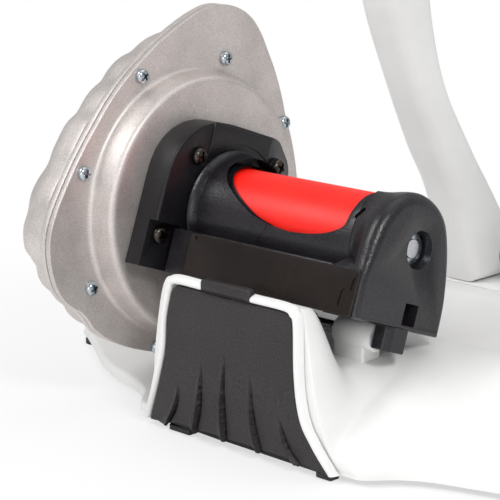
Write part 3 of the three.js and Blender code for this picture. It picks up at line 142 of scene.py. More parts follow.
def bump(tree, bsdf, height, strength, distance_mm):
    node = tree.nodes.new("ShaderNodeBump")
    node.inputs["Strength"].default_value = strength
    node.inputs["Distance"].default_value = distance_mm * MM
    tree.links.new(height, node.inputs["Height"])
    tree.links.new(node.outputs["Normal"], bsdf.inputs["Normal"])


def blended(tree, share, first, second):
    """Mixes two noises; share is how much of the second there is."""
    node = tree.nodes.new("ShaderNodeMix")
    node.inputs["Factor"].default_value = share
    tree.links.new(first, node.inputs["A"])
    tree.links.new(second, node.inputs["B"])
    return node.outputs["Result"]


GRAIN_DEPTH = 0.12


def plastic(name, dark, light, rough, grain_scale, grain, specular, speckle=0.0):
    """Moulded plastic or rubber: faint clouds of colour, and a grain that also shows as speckle."""
    mat, tree, bsdf = new_material(name)
    at = coords(tree)
    cloud = noise(tree, at, scale=0.03, detail=4)
    fine = noise(tree, at, grain_scale, detail=2)
    tone = blended(tree, speckle, cloud, fine) if speckle else cloud
    tree.links.new(ramp(tree, tone, [(0.3, dark), (0.7, light)]), bsdf.inputs["Base Color"])
    tree.links.new(spread(tree, cloud, *rough), bsdf.inputs["Roughness"])
    bsdf.inputs["Specular IOR Level"].default_value = specular
    bump(tree, bsdf, fine, grain, GRAIN_DEPTH)
    return mat


def metal(name, dark, light, rough, speck_scale, grain, metallic=1.0):
    """Metal with faint clouds under a fine blasted or ground speckle."""
    mat, tree, bsdf = new_material(name)
    at = coords(tree)
    cloud = noise(tree, at, scale=0.05, detail=5, rough=0.6)
    fine = noise(tree, at, speck_scale, detail=3, rough=0.7)
    tone = blended(tree, 0.72, cloud, fine)
    tree.links.new(ramp(tree, tone, [(0.34, dark), (0.66, light)]), bsdf.inputs["Base Color"])
    tree.links.new(spread(tree, tone, *rough), bsdf.inputs["Roughness"])
    bsdf.inputs["Metallic"].default_value = metallic
    bump(tree, bsdf, fine, grain, GRAIN_DEPTH)
    return mat


WHITE = plastic("white_plastic", (226, 226, 225), (233, 233, 232), (0.40, 0.50), 1.6, 0.10, 0.35)
BLACK = plastic("black_plastic", (7, 6, 8), (44, 41, 46), (0.26, 0.36), 1.1, 1.2, 0.44, 0.7)
# A copy of the black plastic painted darker: painted shade for the mounting block, which sits in shade beside
# the fluid chamber
SHADED_BLACK = plastic("shaded_black_plastic", (3, 2, 4), (26, 24, 28), (0.34, 0.42), 1.1, 1.0, 0.36, 0.7)
GLOSS = plastic("gloss_black", (20, 15, 13), (34, 26, 23), (0.20, 0.30), 0.8, 0.03, 0.3)
RUBBER = plastic("black_rubber", (15, 13, 14), (57, 53, 54), (0.46, 0.56), 1.2, 0.7, 0.4, 0.7)
RED = plastic("red_elastomer", (246, 20, 8), (252, 29, 13), (0.38, 0.46), 1.0, 0.05, 0.45)
ALU = metal("satin_aluminium", (178, 171, 168), (230, 223, 220), (0.45, 0.56), 1.9, 0.35, 0.8)
CAST = metal("cast_aluminium", (186, 179, 176), (230, 224, 221), (0.46, 0.58), 1.5, 0.45, 0.8)
STEEL = metal("ground_steel", (176, 178, 184), (206, 208, 212), (0.22, 0.34), 1.3, 0.06)
ZINC = metal("zinc_steel", (150, 163, 172), (206, 214, 220), (0.16, 0.26), 0.9, 0.06)
OXIDE = metal("black_steel", (50, 46, 43), (92, 86, 80), (0.26, 0.36), 0.9, 0.08)
SLOT_MATERIALS = {
    "white_plastic": WHITE, "black_plastic": BLACK, "gloss_black": GLOSS, "black_rubber": RUBBER,
    "red_elastomer": RED, "aluminium": ALU, "cast_aluminium": CAST, "steel": STEEL, "zinc_steel": ZINC,
    "black_steel": OXIDE,
}


# Mesh helpers
def mesh_object(name, verts, faces, place=WORLD):
    mesh = bpy.data.meshes.new(name)
    mesh.from_pydata([place @ Vector(v) for v in verts], [], faces)
    mesh.validate()
    obj = bpy.data.objects.new(name, mesh)
    scene.collection.objects.link(obj)
    return obj


def outward(obj):
    """Merges doubled points and turns all faces outward."""
    bm = bmesh.new()
    bm.from_mesh(obj.data)
    bmesh.ops.remove_doubles(bm, verts=bm.verts, dist=0.0005)
    bmesh.ops.recalc_face_normals(bm, faces=bm.faces)
    bm.to_mesh(obj.data)
    bm.free()
    return obj


def from_rings(name, rings, place=WORLD, cap=True):
    """A skin through rings of equal point counts, closed by a face at each end."""
    count = len(rings[0])
    verts = [point for ring in rings for point in ring]
    faces = []
    for r in range(len(rings) - 1):
        for i in range(count):
            j = (i + 1) % count
            faces.append((r * count + i, r * count + j, (r + 1) * count + j, (r + 1) * count + i))
    if cap:
        faces.append(tuple(range(count)))
        faces.append(tuple(range((len(rings) - 1) * count, len(rings) * count)))
    return outward(mesh_object(name, verts, faces, place))


def catmull(points, per):
    """A smooth curve through the points, with a number of steps between each two."""
    out = []
    last = len(points) - 1
    for i in range(last):
        near = [points[min(max(i + k, 0), last)] for k in (-1, 0, 1, 2)]
        for s in range(per):
            t = s / per
            out.append(tuple(
                0.5 * (2 * b + (c - a) * t + (2 * a - 5 * b + 4 * c - d) * t * t
                       + (3 * b - a - 3 * c + d) * t ** 3)
                for a, b, c, d in zip(*near)))
    out.append(tuple(points[-1]))
    return out


def filleted(points, radius, steps=5):
    """Rounds each corner of a closed polygon; radius is one number or one for each corner."""
    out = []
    n = len(points)
    for i in range(n):
        r = radius[i] if isinstance(radius, (list, tuple)) else radius
        a, b, c = (Vector(points[(i + k) % n]) for k in (-1, 0, 1))
        to_a, to_c = (a - b), (c - b)
        if r <= 0 or to_a.length < 1e-6 or to_c.length < 1e-6:
            out.append(tuple(b))
            continue
        half = to_a.angle(to_c) / 2
        reach = min(r / math.tan(half), to_a.length * 0.48, to_c.length * 0.48)
        start, end = b + to_a.normalized() * reach, b + to_c.normalized() * reach
        for s in range(steps + 1):
            t = s / steps
            out.append(tuple((1 - t) ** 2 * start + 2 * t * (1 - t) * b + t * t * end))
    return out


def inset(points, by):
    """Moves a closed polygon's points inward along their normals."""
    n = len(points)
    area = sum(a[0] * b[1] - b[0] * a[1] for a, b in zip(points, points[1:] + points[:1]))
    sign = 1 if area > 0 else -1
    out = []
    for i in range(n):
        a, b, c = (Vector(points[(i + k) % n]) for k in (-1, 0, 1))
        d1, d2 = (b - a), (c - b)
        if d1.length < 1e-9:
            d1 = d2
        if d2.length < 1e-9:
            d2 = d1
        n1 = Vector((-d1.y, d1.x)).normalized() * sign
        n2 = Vector((-d2.y, d2.x)).normalized() * sign
        miter = (n1 + n2)
        if miter.length > 1e-6:
            miter = miter.normalized() / max(miter.normalized().dot(n1), 0.5)
        else:
            miter = n1
        out.append(tuple(b + miter * by))
    return out


def rim_levels(end, radius, inward, steps):
    """A rounded rim as pairs of place along the axis and inset, or a plain end without a radius."""
    if radius <= 0:
        return [(end, 0)]
    turns = [math.pi / 2 * s / steps for s in range(steps + 1)]
    return sorted((end + inward * radius * (1 - math.sin(a)), radius * (1 - math.cos(a))) for a in turns)


def along_axis(axis, along, u, v):
    return {"x": (along, u, v), "y": (u, along, v), "z": (u, v, along)}[axis]


def prism(name, outline, low, high, axis="x", place=WORLD, round_low=0.0, round_high=0.0, steps=4):
    """Outline pushed along an axis, with rounded rims at its two ends."""
    rings = []
    for along, by in rim_levels(low, round_low, 1, steps) + rim_levels(high, round_high, -1, steps):
        rings.append([along_axis(axis, along, *p) for p in (inset(outline, by) if by > 0 else outline)])
    return from_rings(name, rings, place)


def lathe(name, profile, place=WORLD, sides=64, centre=(0, 0), axis="x"):
    """Turns pairs of (along, radius) about an axis. A profile closes on the axis or on itself."""
    turns = [2 * math.pi * i / sides for i in range(sides)]
    rings = []
    for along, radius in profile:
        circle = [(centre[0] + radius * math.cos(a), centre[1] + radius * math.sin(a)) for a in turns]
        rings.append([along_axis(axis, along, *p) for p in circle])
    return from_rings(name, rings, place, cap=profile[0] != profile[-1])


def rod(low, high, radius, place=WORLD, sides=24, centre=(0, 0), axis="x"):
    """A plain round bar, which mostly cuts a hole."""
    profile = [(low, ON_AXIS), (low, radius), (high, radius), (high, ON_AXIS)]
    return lathe("rod", profile, place, sides, centre, axis)


def on_circle(cx, cy, r, degrees):
    return cx + r * math.cos(math.radians(degrees)), cy + r * math.sin(math.radians(degrees))


def arc(cx, cy, r, a0, a1, steps=8):
    return [on_circle(cx, cy, r, a0 + (a1 - a0) * s / steps) for s in range(steps + 1)]


def swung(points, degrees, u, v):
    """Points turned about the origin, and then moved by (u, v)."""
    c, s = on_circle(0, 0, 1, degrees)
    return [(u + x * c - y * s, v + x * s + y * c) for x, y in points]


def fade(value, start, end):
    """Eases from 0 to 1 between two values."""
    share = min(max((value - start) / (end - start), 0), 1)
    return share * share * (3 - 2 * share)


def rectangle(x0, y0, x1, y1):
    return [(x0, y0), (x1, y0), (x1, y1), (x0, y1)]


def box(name, lo, hi, place=WORLD):
    return prism(name, rectangle(*lo[1:], *hi[1:]), lo[0], hi[0], "x", place)


def boolean(obj, others, how="DIFFERENCE"):
    """Cuts the others out of a piece, or joins them to it, and uses them up."""
    for other in others:
        mod = obj.modifiers.new("boolean", "BOOLEAN")
        mod.operation = how
        mod.solver = "EXACT"
        mod.object = other
        settle(obj)
        bpy.data.objects.remove(other)


def settle(obj):
    """Applies the modifiers."""
    bpy.context.view_layer.update()
    graph = bpy.context.evaluated_depsgraph_get()
    mesh = bpy.data.meshes.new_from_object(obj.evaluated_get(graph))
    obj.modifiers.clear()
    old = obj.data
    obj.data = mesh
    bpy.data.meshes.remove(old)


def bevel(obj, width, segments, angle):
    """Rounds the edges that are sharper than an angle."""
    bm = bmesh.new()
    bm.from_mesh(obj.data)
    bmesh.ops.remove_doubles(bm, verts=bm.verts, dist=0.01)
    bmesh.ops.dissolve_limit(bm, angle_limit=math.radians(0.5), verts=bm.verts, edges=bm.edges)
    bm.to_mesh(obj.data)
    bm.free()
    mod = obj.modifiers.new("bevel", "BEVEL")
    mod.width = width
    mod.segments = segments
    mod.limit_method = "ANGLE"
    mod.angle_limit = math.radians(angle)
    mod.miter_outer = "MITER_ARC"
    mod.use_clamp_overlap = True
    settle(obj)


def finish(obj, material, body, stands_for=(), sharp=38):
    """Scales a piece to metres, gives it its look and hangs it on its body."""
    obj.data.transform(Matrix.Scale(MM, 4))
    obj.data.materials.clear()
    obj.data.materials.append(material)
    obj.data.polygons.foreach_set("use_smooth", [True] * len(obj.data.polygons))
    obj.data.set_sharp_from_angle(angle=math.radians(sharp))
    obj.data.update()
    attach(obj, body)
    if stands_for:
        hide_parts(*stands_for)


# Fluid chamber. The rim is given as pairs of degrees and shares of its round part's radius
PLATE_FRONT, PLATE_BACK = -88.3, -91.3
PLATE_RADIUS = 80.0
RIM_SHARES = [
    (6, 1.05), (14, 1.012), (24, 0.99), (36, 0.984), (47, 0.995), (53, 1.024), (59, 1.061), (65, 1.104),
    (71, 1.152), (77, 1.216), (83, 1.268), (89, 1.288), (95, 1.282), (100, 1.262), (106, 1.211),
    (113, 1.15), (120, 1.1), (129, 1.05), (135, 1.026), (143, 1.004), (151, 0.989), (161, 0.981),
    (170, 0.995), (180, 1.031), (187, 1.069), (194, 1.119), (200, 1.162), (206, 1.183), (212, 1.188),
    (218, 1.181), (222.5, 1.16), (226.5, 1.124), (230, 1.087), (234, 1.073), (238.5, 1.075),
    (243.5, 1.064), (251, 1.036), (260, 1.007), (268, 0.99), (280, 0.986), (292, 0.987), (303, 0.998),
    (311, 1.022), (319, 1.063), (327, 1.108), (335, 1.136), (343, 1.142), (351, 1.12), (359, 1.085),
]


def wrapped(turn):
    """Share of the rim at an angle, smooth through the rows on each side."""
    rows = [(d - 360, s) for d, s in RIM_SHARES[-3:]] + RIM_SHARES + [(d + 360, s) for d, s in RIM_SHARES[:3]]
    at = max(i for i in range(1, len(rows) - 2) if rows[i][0] <= turn)
    (d0, a), (d1, b), (d2, c), (d3, d) = rows[at - 1:at + 3]
    t = (turn - d1) / (d2 - d1)
    m1 = (c - a) / (d2 - d0) * (d2 - d1)
    m2 = (d - b) / (d3 - d1) * (d2 - d1)
    return ((2 * t ** 3 - 3 * t * t + 1) * b + (t ** 3 - 2 * t * t + t) * m1
            + (3 * t * t - 2 * t ** 3) * c + (t ** 3 - t * t) * m2)


# The casing leans in at its top. It has valleys between its lobes, at these degrees, and it swells
# beyond the plate's outline as listed in pairs of degrees and millimetres.
TOP_DEGREES, TOP_WIDTH = 98, 20
VALLEYS = (6, 24, 41, 58, 75, 92, 107, 122, 139, 156, 179, 197, 214, 230, 247, 264, 282, 300, 318, 336, 352)
SWELL = [
    (0, 0.0), (100, 0.3), (112, 0.9), (128, 1.3), (140, 0.3), (150, 0.3), (163, 2.3), (172, 1.7),
    (180, 1.5), (190, 2.3), (200, 1.2), (208, 0.3), (212, -1.6), (216, -3.2), (222, -2.4), (232, 0.0),
    (360, 0.0),
]
LOBE_CREST, LOBE_REACH, VALLEY_WIDTH = 0.35, 9, 2.8


def swell(deg):
    """How far the casing swells at an angle."""
    for (d0, a), (d1, b) in zip(SWELL, SWELL[1:]):
        if deg <= d1:
            return a + (b - a) * fade(deg, d0, d1)


def valley(deg):
    """Relief of the casing's wall at an angle, as a share of the flutes' depth."""
    nearest = min(min(abs(deg - v), 360 - abs(deg - v)) for v in VALLEYS)
    return LOBE_CREST * fade(nearest, 0, LOBE_REACH) - math.exp(-0.5 * (nearest / VALLEY_WIDTH) ** 2)


RIM_SIDES = 360
DEGREES = [i * 360 / RIM_SIDES for i in range(RIM_SIDES)]
RIM = [PLATE_RADIUS * wrapped(deg) for deg in DEGREES]
FLUTE = [valley(deg) for deg in DEGREES]
SWOLLEN = [swell(deg) for deg in DEGREES]


def polar(name, stations):
    """A closed skin from stations (x, radius, rim share, flute depth, top inset)."""
    rings = []
    for x, radius, share, *more in stations:
        flute, top = (list(more) + [0, 0])[:2]
        ring = []
        for i, deg in enumerate(DEGREES):
            r = radius + share * (RIM[i] - PLATE_RADIUS)
            r += flute * FLUTE[i] + min(flute, 1) * SWOLLEN[i]
            r -= top * math.exp(-0.5 * ((deg - TOP_DEGREES) / TOP_WIDTH) ** 2)
            ring.append((x, *on_circle(0, 0, r, deg)))
        rings.append(ring)
    return from_rings(name, rings, UNIT, cap=stations[0] != stations[-1])


def bend(start, end, peak, steps=5):
    """A soft corner between two points of a profile, pulled towards peak."""
    out = []
    for s in range(steps + 1):
        t = s / steps
        out.append(tuple((1 - t) ** 2 * a + 2 * t * (1 - t) * c + t * t * b
                         for a, b, c in zip(start, end, peak)))
    return out


DISH_TOP = PLATE_FRONT + 13.2
front = [(DISH_TOP, 12.0), (DISH_TOP, 30), (DISH_TOP, 50), (DISH_TOP, 61.0)]
front += bend((DISH_TOP, 62.4), (DISH_TOP - 3.4, 66.2), (DISH_TOP, 65.8))
front += bend((PLATE_FRONT + 3.0, 68.0), (PLATE_FRONT, 71.2), (PLATE_FRONT, 68.3))
stations = [(x, r, 0.0) for x, r in front]
stations += [(PLATE_FRONT, 76.0, 0.35), (PLATE_FRONT, 79.2, 1.0)]
rim = bend((PLATE_FRONT, 79.5), (PLATE_FRONT - 0.5, 80), (PLATE_FRONT, 80), 3)
rim += bend((PLATE_BACK + 0.3, 80), (PLATE_BACK, 79.7), (PLATE_BACK, 80), 2)
stations += [(x, r, 1.0) for x, r in rim]
stations += [(PLATE_BACK, 65.3, 0.0), (DISH_TOP - 3.0, 62.6, 0.0), (DISH_TOP - 3.0, 12.0, 0.0), stations[0]]
finish(polar("chamber_cover", stations), ALU, "unit", ["cover_plate"])

gasket = [(-91.4, 79.4, 1.0), (-91.4, 65.0, 0.0), (-91.9, 65.0, 0.0), (-91.9, 79.4, 1.0), (-91.4, 79.4, 1.0)]
finish(polar("chamber_gasket", gasket), RUBBER, "unit", ["cover_gasket"])

DOME = [
    (-96.0, 2.9), (-98.5, 2.7), (-103.2, 3.0), (-107.95, 3.6), (-113.1, 5.2), (-117.6, 8.4),
    (-120.6, 11.8),
]
shell = [(-92.0, 60.0, 0.0), (-92.0, 79.6, 1.0), (-92.15, 79.9, 1.0), (-92.5, 80.0, 1.0),
         (-95.2, 80.0, 1.0), (-95.6, 79.8, 1.0), (-95.8, 79.3, 1.0), (-95.8, 78.6, 1.0, 0.6, 4.5)]
shell += [(x, PLATE_RADIUS - by, 1.0, 1.0, 6.0) for x, by in catmull(DOME, 3)]
shell += [(-121.9, 65.9, 1.0, 1.0, 6.0), (-122.6, 64.4, 1.0, 0.6, 6.0), (-122.8, 62.6, 1.0, 0.2, 6.0)]
shell += [(-122.8, 52.0, 0.7, 0, 4.0), (-122.6, 51.4, 0.7, 0, 4.0), (-121.2, 50.6, 0.7, 0, 4.0),
          (-121.0, 50.0, 0.7, 0, 4.0), (-121.0, 30.0, 0.15), (-121.2, 29.4, 0.1), (-122.6, 28.6, 0.1),
          (-122.8, 28.0, 0.1), (-122.8, 14.0, 0.0), (-122.2, 13.0, 0.0), (-122.2, ON_AXIS, 0.0)]
shell = [(-112.3, ON_AXIS, 0.0), (-112.3, 59.6, 0.0)] + shell
finish(polar("chamber_casing", shell), CAST, "unit", ["finned_casing"], sharp=42)


# Domed head, as shares of the height and the radius
SCREW_HEAD = [(0.3, 1), (0.6, 0.93), (0.85, 0.72), (0.97, 0.42)]


def cross_screw(node, head_x, length, head, height, shank, centre, turn, material):
    """A screw with a domed head and a cross recess."""
    profile = [(head_x - length, ON_AXIS), (head_x - length, shank), (head_x, shank), (head_x, head * 0.97),
               (head_x + 0.12, head)]
    profile += [(head_x + height * up_share, head * out_share) for up_share, out_share in SCREW_HEAD]
    profile += [(head_x + height, ON_AXIS)]
    body = lathe("screw", profile, UNIT, 32, centre)
    above = (head_x + height + 0.5, head * 0.68, head * 0.17)
    floor_of_recess = (head_x + height - height * 0.78, head * 0.40, head * 0.12)
    for degrees in (turn, turn + 90):
        levels = []
        for x, half, wide in (above, floor_of_recess):
            corners = swung(rectangle(-half, -wide, half, wide), degrees, *centre)
            levels.append([(x, *p) for p in corners])
        boolean(body, [from_rings("cut", levels, UNIT)])
    finish(body, material, "unit", [node], sharp=40)


COVER_SCREW_RADIUS = 76.0
for k in range(8):
    centre = on_circle(0, 0, COVER_SCREW_RADIUS, 90 + 45 * k)
    cross_screw(f"cover_screw_{k + 1}", -88.0, 9, 3.7, 2.8, 2.0, centre, 20 + 37 * k, ZINC)
BLOCK_SCREWS = {
    "rear": (-30.4, 21.9), "lower_rear": (-39.8, -20.2), "front": (26.5, 27.5), "lower_front": (44, -19.5),
}
for k, (which, centre) in enumerate(BLOCK_SCREWS.items()):
    node = f"{which}_block_screw"
    lo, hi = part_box(node)
    head_x = hi[0] / MM - (1.0 if which == "lower_rear" else 3.2)
    length = head_x - lo[0] / MM
    cross_screw(node, head_x, length, 4.4, 3.2, 2.4, centre, 12 + 31 * k, OXIDE)


# Mounting block, with outlines as (p, q) across the roller's axis
UNIT_BOTTOM = -37.4
BLOCK_BOTTOM, BLOCK_FRONT, BLOCK_BACK = -37.2, -59.9, -74.8
nose = catmull([(50.2, 20), (50.2, 24), (47.8, 29.2), (43.7, 33), (36.5, 36.9), (29.7, 40.4), (23, 41.6),
                (14, 41.8)], 5)
tail = catmull([(-6, 41.9), (-13, 41.7), (-20, 41), (-26, 39.5), (-32.4, 36.6), (-38.1, 32.3), (-42.4, 27.2),
                (-45.4, 21.6), (-47.2, 14.5), (-47.9, 6)], 5)
outline = [(-48.2, BLOCK_BOTTOM), (50.2, BLOCK_BOTTOM)] + nose + tail
block = prism("unit_block", outline, BLOCK_BACK, BLOCK_FRONT, "x", UNIT, 0.4, 1.5, 5)
boolean(block, [prism("ramp", [(-59.9, 18), (-30, 18), (-30, 70), (-79.9, 70)], -60, 60, "z", UNIT)])
for which in ("front", "lower_front"):
    boss = [(-74.0, ON_AXIS), (-74.0, 5.6), (-61.0, 4.75), (-60.2, 4.6), (-59.9, 4.2), (-59.9, ON_AXIS)]
    boolean(block, [lathe("boss", boss, UNIT, 32, BLOCK_SCREWS[which])], "UNION")
panel = [
    (-24.7, 40.6), (-24.7, 27.5), (-24.9, 22.6), (-25.6, 18.2), (-29.6, 14.9), (-22, 4), (10, 4),
    (17.4, 14), (17.4, 39.6), (12, 40.4),
]
raised = prism("raised", panel, -60.6, -59.0, "x", UNIT, 0, 0.5, 3)
boolean(raised, [rod(-62, -55, 33.6, UNIT, 96)])
boolean(block, [raised], "UNION")
pocket = filleted(rectangle(-60, -50, -26.2, -13.9), [0, 0, 2.5, 0])
boolean(block, [prism("pocket", pocket, -64.8, -50, "x", UNIT), rod(-67.0, -50, 11.3, UNIT, 48),
                rod(-80.0, -60, 5.6, UNIT, 32)])
boolean(block, [rod(-80, -50, 2.7, UNIT, 24, centre) for centre in BLOCK_SCREWS.values()])
bevel(block, 0.5, 2, 50)
# The block takes the black that is painted darker as painted shade
finish(block, SHADED_BLACK, "unit", ["mounting_block"])


# Cradle halves, end cap and bare label plate
CRADLE_RADIUS, CRADLE_BORE, PIN_BORE, SHAFT_BORE = 28, 24, 3.6, 5.6
CRADLE_REAR = -35.15
HINGE_PQ = (1.68, -43.93)
SADDLE = [
    (-47.9, 22), (-47.2, 19), (-44.6, 15.4), (-40.6, 11.7), (-34.8, 7.9), (-28.6, 4.4), (-24.4, 2.3),
    (-19.6, 0), (-15, -1.6), (-6, -3.7), (5.7, -4.9), (16.5, -4.4), (24.5, -3.4), (30.5, -2),
    (35.3, -0.2), (39.4, 2), (40.9, 4.4), (41.1, 8.2), (41.5, 11.4), (42.2, 15.7), (43.5, 19.3),
    (46, 21.2),
]
SADDLE = catmull(SADDLE, 5) + [(60, 22.4), (60, 45), (-47.9, 45)]
SEAM = catmull([(-4.5, 50), (-4.5, 0), (-6.4, -4), (-9.6, -8), (-12.2, -12), (-13.3, -16), (-13.3, -60)], 4)
SEAM_GAP = 0.12


def hinge_lug(x0, x1):
    """Block of the unit that the hinge pin runs through."""
    low, high, corner = HINGE_PQ[0] - 8, HINGE_PQ[0] + 8, 3
    outline = [(x0 + corner, low), (x1 - corner, low), (x1, low + corner), (x1, high - corner),
               (x1 - corner, high), (x0 + corner, high), (x0, high - corner), (x0, low + corner)]
    return prism("lug", filleted(outline, 0.8, 3), -48.9, -33, "z", UNIT, 0.8)


def oval(u, v, long, wide, degrees):
    """Outline of a slot, turned about its centre."""
    reach = (long - wide) / 2
    return swung(arc(reach, 0, wide / 2, -90, 90) + arc(-reach, 0, wide / 2, 90, 270), degrees, u, v)


def beyond_seam(side):
    """What lies past the wavy joint of the cradle's halves, seen from one of them."""
    line = [(x + side * SEAM_GAP, q) for x, q in SEAM]
    return prism("beyond", line + [(-side * 70, -60), (-side * 70, 50)], -60, 60, "y", UNIT)


def shoulder_slot():
    return prism("slot", oval(46.4, 10.2, 6.4, 2.1, 56), -34, -21.5, "y", UNIT)


def cradle(x0, x1, node, collar=False):
    """One half of the roller's cradle, with a collar against the block or the slot in its shoulder."""
    section = [(CRADLE_REAR, UNIT_BOTTOM), (27, UNIT_BOTTOM), (27, -7.4)]
    section += arc(0, 0, CRADLE_RADIUS, -15.3, 213.6, 60)
    section += [(CRADLE_REAR, -15.2)]
    body = prism("c", section, x0, x1, "x", UNIT, 0.25, 0.25, 2)
    boolean(body, [box("hollow", (x0 + 3, -32.15, -40), (x1 - 3, 24, -27), UNIT)])
    boolean(body, [box("rib", (x0 + 1.5, -14, -35.6), (x1 - 1.5, -11, -25.5), UNIT)], "UNION")
    if collar:
        flare = [(x0, 10), (x0, 30.2), (x0 + 0.3, 30.6), (x0 + 0.7, 30.5)]
        flare += bend((x0 + 0.9, 30.2), (x0 + 8.4, 27.6), (x0 + 2.6, 28.0), 10) + [(x0 + 8.4, 10)]
        boolean(body, [lathe("flare", flare, UNIT, 96), hinge_lug(-59.2, -49.7)], "UNION")
    boolean(body, [rod(x0 - 5, x1 + 5, CRADLE_BORE, UNIT, 96), prism("opening", SADDLE, -60, 60, "y", UNIT)])
    if collar:
        boolean(body, [rod(-62, -40, PIN_BORE, UNIT, 24, HINGE_PQ), beyond_seam(-1)])
    else:
        boolean(body, [shoulder_slot(), beyond_seam(1)])
    bevel(body, 0.7, 3, 40)
    finish(body, BLACK, "unit", [node], sharp=45)


cradle(-59.6, -4.65, "left_cradle", True)
cradle(-13.6, 45.7, "right_cradle")

CAP_BACK, CAP_FACE, CAP_BLEND = 46.0, 65.2, 59.4
CAP_BOTTOM = UNIT_BOTTOM - 0.4
shoulder = [
    (28.6, CAP_BOTTOM), (28.3, -26.3), (27.1, -15), (24.7, -2), (21.1, 8), (16.5, 15.9), (10.6, 20.9),
    (4, 23.9), (-3, 25.3), (-9, 25.1), (-15, 23.6), (-21, 20.2), (-26.2, 14.8), (-30.3, 8), (-32.8, -1),
    (-34, -9), (-35.0, -15.5), (CRADLE_REAR, -24), (CRADLE_REAR, CAP_BOTTOM),
]
shoulder = catmull(shoulder, 5)
aside = [Vector(b) - Vector(a) for a, b in zip(shoulder, inset(shoulder, 1))]


def cap_root(p, q):
    """The cap starts as a continuation of the cradle, and swells towards its face."""
    if q < -15.4:
        return p, q
    reach = min(CRADLE_RADIUS / math.hypot(p, q), 1.25)
    return p * reach, min(q * reach, 22.4)


cap_rings = []
for k in range(9):
    x = CAP_BACK + (CAP_BLEND - CAP_BACK) * k / 8
    grown = fade(x, CAP_BACK, CAP_BLEND)
    ring = []
    for p, q in shoulder:
        p0, q0 = cap_root(p, q)
        ring.append((x, p0 + (p - p0) * grown, q0 + (q - q0) * grown))
    cap_rings.append(ring)
for k in range(1, 10):
    a = math.pi / 2 * k / 9
    ring = []
    for (p, q), away in zip(shoulder, aside):
        crest = 3.0 + 2.4 * fade(q, -24, 4)
        by = crest * (1 - math.cos(a))
        ring.append((CAP_FACE - crest * (1 - math.sin(a)), p + away.x * by, q + away.y * by))
    cap_rings.append(ring)
cap = from_rings("cap", cap_rings, UNIT)
boolean(cap, [hinge_lug(51.8, 63.7)], "UNION")
shaft_hole = [(49.8, ON_AXIS), (49.8, 9.0), (64.5, 9.0), (65.3, 9.9), (70, 9.9), (70, ON_AXIS)]
square_slot = filleted(rectangle(-1.6, -35.5, 8, -25.1), 0.8)
boolean(cap, [lathe("hole", shaft_hole, UNIT, 64), rod(40, 60, SHAFT_BORE, UNIT, 40),
              prism("slot", square_slot, 57.2, 70, "x", UNIT), shoulder_slot(),
              rod(40, 61.2, PIN_BORE, UNIT, 24, HINGE_PQ)])
bevel(cap, 0.5, 2, 50)
finish(cap, BLACK, "unit", ["end_cap"], sharp=45)

plate = filleted([(-46.2, -37.3), (63.0, -37.3), (63.4, -15.9), (-46.6, -15.9)], 1.2, 6)
label = prism("unit_label", plate, -36.75, -35.45, "y", UNIT, 0.35, 0.0, 3)
for dent in ((-40.6, -17.6, 4.0, 1.8, 0), (56.6, -29.6, 9.0, 3.6, 84), (61.2, -22.6, 6.2, 1.6, 84)):
    boolean(label, [prism("dent", oval(*dent), -40, -36.2, "y", UNIT)])
finish(label, GLOSS, "unit", ["label_plate"])

# Roller
sleeve = [(-53, 20.3), (-53, 23.1)] + bend((-52.6, 23.4), (-49.5, 22.5), (-51.8, 22.6), 5)
sleeve += [(43.2, 22.5), (43.8, 22.2), (44, 21.7), (44, 20.3), (-53, 20.3)]
finish(lathe("roller_skin", sleeve, UNIT, 128), RED, "rotor", ["roller_sleeve"])


# White base: a shell whose height is worked out over its plan, as in the solid. The rear edge is given
# as shares of the legs' reach and of the foot's distance behind the origin.
LEG_REACH, SKIRT, WALL = 200.0, 3.0, 3.0
REAR_Y, RIDGE_Y, TONGUE_END = -20.0, 69.0, 276
RIDGE_HIGH, LEG_HIGH, TONGUE_TOP, REAR_LOW = 51, 22, 12, 7.5
COLUMN_LOW, COLUMN_RISE, COLUMN_RIDGE, CURL = 46.5, 32.5, 4.5, 6.8
REAR_EDGE = [
    (0, -1), (0.235, -1), (0.32, -0.94), (0.353, -0.8), (0.385, -0.4), (0.43, 0.12), (0.47, 0.37),
    (0.51, 0.55), (0.58, 0.77), (0.65, 0.98), (0.73, 1.35), (0.865, 2.25), (0.98, 2.95), (1, 3.05),
]


def rear_edge(x):
    """y of the crown's rear edge."""
    share = min(abs(x) / LEG_REACH, 1)
    row = 1
    while row < len(REAR_EDGE) - 1 and share > REAR_EDGE[row][0]:
        row += 1
    (s0, a), (s1, b) = REAR_EDGE[row - 1], REAR_EDGE[row]
    return -REAR_Y * (a + (b - a) * (share - s0) / (s1 - s0))


def soft_rear_edge(x):
    """The same without its corners."""
    return sum(rear_edge(x + d) for d in (-3, -1.5, 0, 1.5, 3)) / 5


def ridge_y(x):
    return RIDGE_Y + 34 * fade(abs(x), 100, 200)


def ridge_z(x):
    """Height of the crown's front ridge, which is cut low on the left, under the fluid chamber."""
    leg = RIDGE_HIGH + (LEG_HIGH - RIDGE_HIGH) * fade(abs(x), 96, 200)
    left = fade(x, -69.6, -54)
    return TONGUE_TOP + (leg - TONGUE_TOP) * (left if x < 0 else 1)


def curl(z):
    """How far the rear foot's face curls back towards its lower edge."""
    return CURL * (1 - min(max((z - 4) / 41, 0), 1)) ** 2


def crown_top(x, y):
    """Height of the crown: a slope up to the ridge, and in the middle the column that carries the unit."""
    rear = soft_rear_edge(x)
    share = min(max((y - rear) / (ridge_y(x) - rear), 0), 1)
    slope = REAR_LOW + (ridge_z(x) - REAR_LOW) * math.sin(share * math.pi / 2) ** 0.85
    column = 1 - fade(abs(x), 44, 62)
    centre = COLUMN_LOW + COLUMN_RISE * (1 - fade(y, -14, 8)) + COLUMN_RIDGE * fade(y, 26, RIDGE_Y)
    return slope + (centre - slope) * column


def rounding(distance, radius):
    """How far a rounded edge lies below its flat at a distance from the edge."""
    if distance >= radius:
        return 0.0
    return radius - math.sqrt(max(radius * radius - (radius - distance) ** 2, 0))


